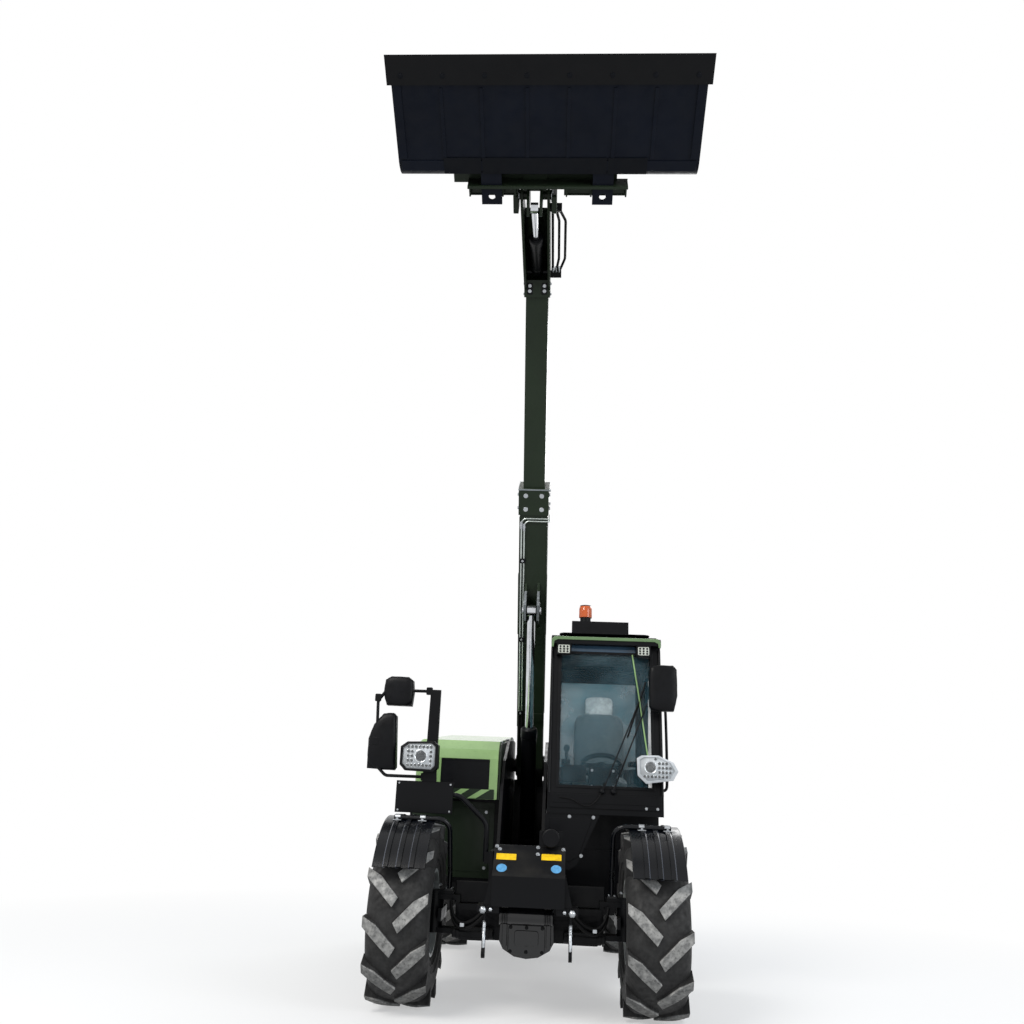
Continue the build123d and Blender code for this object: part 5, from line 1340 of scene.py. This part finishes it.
# ---------------------------------------------------------------- rear
# lamps, ribs, bolts and the tow pin
bm = bmesh.new()
face = rear(0, 3.5, 0.95)
for side in (-1, 1):
    slab(bm, face, rect(side * 0.36, 0.17, 0.10, 0.16, 0.012), 0.0, 0.020, 0)
    slab(bm, face, rect(side * 0.36, 0.205, 0.084, 0.060, 0.008), 0.020, 0.030, 1)
    slab(bm, face, rect(side * 0.36, 0.138, 0.084, 0.052, 0.008), 0.020, 0.030, 2)
piece("rear_lamps", bm, "plastic red_lens amber", bevel=0.002)
bm = bmesh.new()
for z in (0.76, 0.84, 0.92):
    slab(bm, face, rect(0, z - 0.95, 0.52, 0.030, 0.006), 0.0, 0.010)
slab(bm, face, rect(0, 0.19, 0.62, 0.14, 0.02), 0.0, 0.006)
piece("rear_ribs", bm, "black", bevel=0.003)
bolts("rear_bolts", [(P(x, 3.5, z), Y) for x in (-0.40, 0.40) for z in (0.72, 0.90)], 0.018, 0.014)
bm = bmesh.new()
lathe(
    bm, above(0, 3.535, 0.535),
    [(0.016, 0.0), (0.016, 0.165), (0.030, 0.168), (0.030, 0.184), (0.004, 0.186)], 24
)
piece("tow_pin_head", bm, "zinc", smooth=True, bevel=0.001)
run = ((0.0, 0.722), (0.03, 0.745), (0.0, 0.772), (-0.03, 0.745), (0.0, 0.722))
tube("tow_pin_ring", [P(x, 3.535, z) for x, z in run], 0.004, "zinc")
# oil tank's cap and sight strip; engine cover's ribs and hoses, under the hood
bm = bmesh.new()
lathe(
    bm, above(0.75, 2.35, 1.675),
    [(0.05, 0.0), (0.05, 0.02), (0.042, 0.024), (0.042, 0.05), (0.005, 0.052)], 32
)
slab(bm, left(0.9305, 2.60, 1.50), rect(0, 0, 0.03, 0.16, 0.01), 0.0, 0.006)
piece("oil_fittings", bm, "plastic", bevel=0.002)
bm = bmesh.new()
for k in range(9):
    slab(bm, above(-0.680, 1.0 + 0.09 * k, 1.7003), rect(0, 0, 0.44, 0.030, 0.008), 0.0, 0.035)
lathe(bm, above(-0.78, 1.20, 1.7003), [(0.10, 0.0), (0.10, 0.045), (0.08, 0.07), (0.02, 0.072)], 32)
piece("engine_cover", bm, "iron", bevel=0.003)
for number, y in enumerate((1.05, 1.35, 1.65)):
    run = ((-0.42, 0, 1.62), (-0.36, 0.02, 1.66), (-0.34, 0.05, 1.45), (-0.37, 0.08, 1.30))
    tube(f"engine_hose_{number}", [P(x, y + dy, z) for x, dy, z in run], 0.014, "hose")

# cross plate between the frame's side plates behind the boom's foot
bm = bmesh.new()
slab(bm, front(-0.100, 2.950, 1.470), rect(0, 0, 0.370, 0.310, 0.01), -0.012, 0.0)
piece("frame_cross_plate", bm, "black", bevel=0.002)

# ---------------------------------------------------------------- floor, light, camera
scene.view_settings.view_transform = "Standard"

floor_mesh = bpy.data.meshes.new("floor")
bm = bmesh.new()
bmesh.ops.create_grid(bm, x_segments=2, y_segments=2, size=60.0)
bm.to_mesh(floor_mesh)
bm.free()
floor = bpy.data.objects.new("floor", floor_mesh)
scene.collection.objects.link(floor)
floor.location = (0, 20, -0.002)
# seen by the camera, or in metal and glass, it is white but for the machine's shadow; the light
# that it throws back on the machine is that of a greyer ground
pale = Shader("floor_pale")
pale.tree.nodes.remove(pale.bsdf)
light_path = pale.node("ShaderNodeLightPath")
ground = pale.node("ShaderNodeBsdfDiffuse")
ground.inputs["Color"].default_value = (0.86, 0.86, 0.86, 1)
dim_ground = pale.node("ShaderNodeBsdfDiffuse")
pale.link(
    pale.mix(pale.ramp(pale.noise(0.8), 0.3, 0.7), (0.26, 0.26, 0.26, 1), (0.32, 0.32, 0.32, 1)),
    dim_ground.inputs["Color"]
)
glow = pale.node("ShaderNodeEmission")
reach = pale.node("ShaderNodeVectorMath", operation="LENGTH")
pale.link(pale.node("ShaderNodeNewGeometry").outputs["Position"], reach.inputs[0])
half = pale.node("ShaderNodeMixShader")
pale.link(pale.ramp(reach.outputs["Value"], 3.0, 7.5, 0.45, 1.0), half.inputs[0])
pale.link(ground.outputs[0], half.inputs[1])
pale.link(glow.outputs[0], half.inputs[2])
seen = pale.math(
    "MAXIMUM", light_path.outputs["Is Camera Ray"], light_path.outputs["Is Transmission Ray"]
)
choose = pale.node("ShaderNodeMixShader")
pale.link(pale.math("MAXIMUM", seen, light_path.outputs["Is Glossy Ray"]), choose.inputs[0])
pale.link(dim_ground.outputs[0], choose.inputs[1])
pale.link(half.outputs[0], choose.inputs[2])
pale.link(choose.outputs[0], pale.tree.nodes["Material Output"].inputs[0])
floor_mesh.materials.append(pale.mat)

world = bpy.data.worlds.new("studio")
scene.world = world
world.use_nodes = True
tree = world.node_tree
tree.nodes.clear()
background = tree.nodes.new("ShaderNodeBackground")
light = tree.nodes.new("ShaderNodeBackground")
light.inputs["Color"].default_value = (0.86, 0.93, 1.0, 1)
light.inputs["Strength"].default_value = 0.48
background.inputs["Color"].default_value = (1, 1, 1, 1)
background.inputs["Strength"].default_value = 1.0
rays = tree.nodes.new("ShaderNodeLightPath")
mix = tree.nodes.new("ShaderNodeMixShader")
out = tree.nodes.new("ShaderNodeOutputWorld")
white = rays.outputs["Is Camera Ray"]
for ray in ("Is Transmission Ray", "Is Glossy Ray"):
    either = tree.nodes.new("ShaderNodeMath")
    either.operation = "MAXIMUM"
    tree.links.new(white, either.inputs[0])
    tree.links.new(rays.outputs[ray], either.inputs[1])
    white = either.outputs[0]
tree.links.new(white, mix.inputs[0])
tree.links.new(light.outputs[0], mix.inputs[1])
tree.links.new(background.outputs[0], mix.inputs[2])
tree.links.new(mix.outputs[0], out.inputs[0])


def lamp(name, place, target, size, power, color=(1, 1, 1)):
    data = bpy.data.lights.new(name, "AREA")
    data.shape = "RECTANGLE"
    data.size, data.size_y = size
    data.energy = power
    data.color = color
    obj = bpy.data.objects.new(name, data)
    scene.collection.objects.link(obj)
    obj.location = place
    obj.rotation_mode = "QUATERNION"
    obj.rotation_quaternion = (Vector(target) - Vector(place)).to_track_quat("-Z", "Y")
    return obj


lamp("key", (-7.0, -9.0, 11.0), (0, -0.5, 2.0), (6, 6), 1500, (1.0, 0.97, 0.93))
lamp("fill", (9.0, -7.0, 5.0), (0, 0, 2.0), (6, 6), 500, (0.92, 0.96, 1.0))
lamp("back", (3.0, 10.0, 9.0), (0, 0, 2.5), (8, 5), 700)
cab_lamp = lamp(
    "cab", tuple(P(CAB_X, 1.20, 2.66)), tuple(P(CAB_X, 1.40, 1.6)), (0.5, 0.5), 14, (0.9, 0.97, 1.0)
)
cab_lamp.visible_glossy = False
cab_lamp.visible_camera = False

# the viewpoint: low, in front of the machine, turned and tilted a little
EYE = (0.2519, -7.8773, 1.4871)
yaw, pitch, roll = (math.radians(v) for v in (-3.3885, 17.3037, 2.3733))
forward = Vector(
    (math.sin(yaw) * math.cos(pitch), math.cos(yaw) * math.cos(pitch), math.sin(pitch))
)
level = Vector((math.cos(yaw), -math.sin(yaw), 0))
upward = level.cross(forward)
across = math.cos(roll) * level + math.sin(roll) * upward
up = -math.sin(roll) * level + math.cos(roll) * upward
camera_data = bpy.data.cameras.new("camera")
camera_data.sensor_width = 36.0
camera_data.lens = 31.64
camera_data.clip_end = 200.0
camera = bpy.data.objects.new("camera", camera_data)
scene.collection.objects.link(camera)
camera.matrix_world = Matrix.Translation(EYE) @ Matrix((
    (across.x, up.x, -forward.x),
    (across.y, up.y, -forward.y),
    (across.z, up.z, -forward.z),
)).to_4x4()
scene.camera = camera
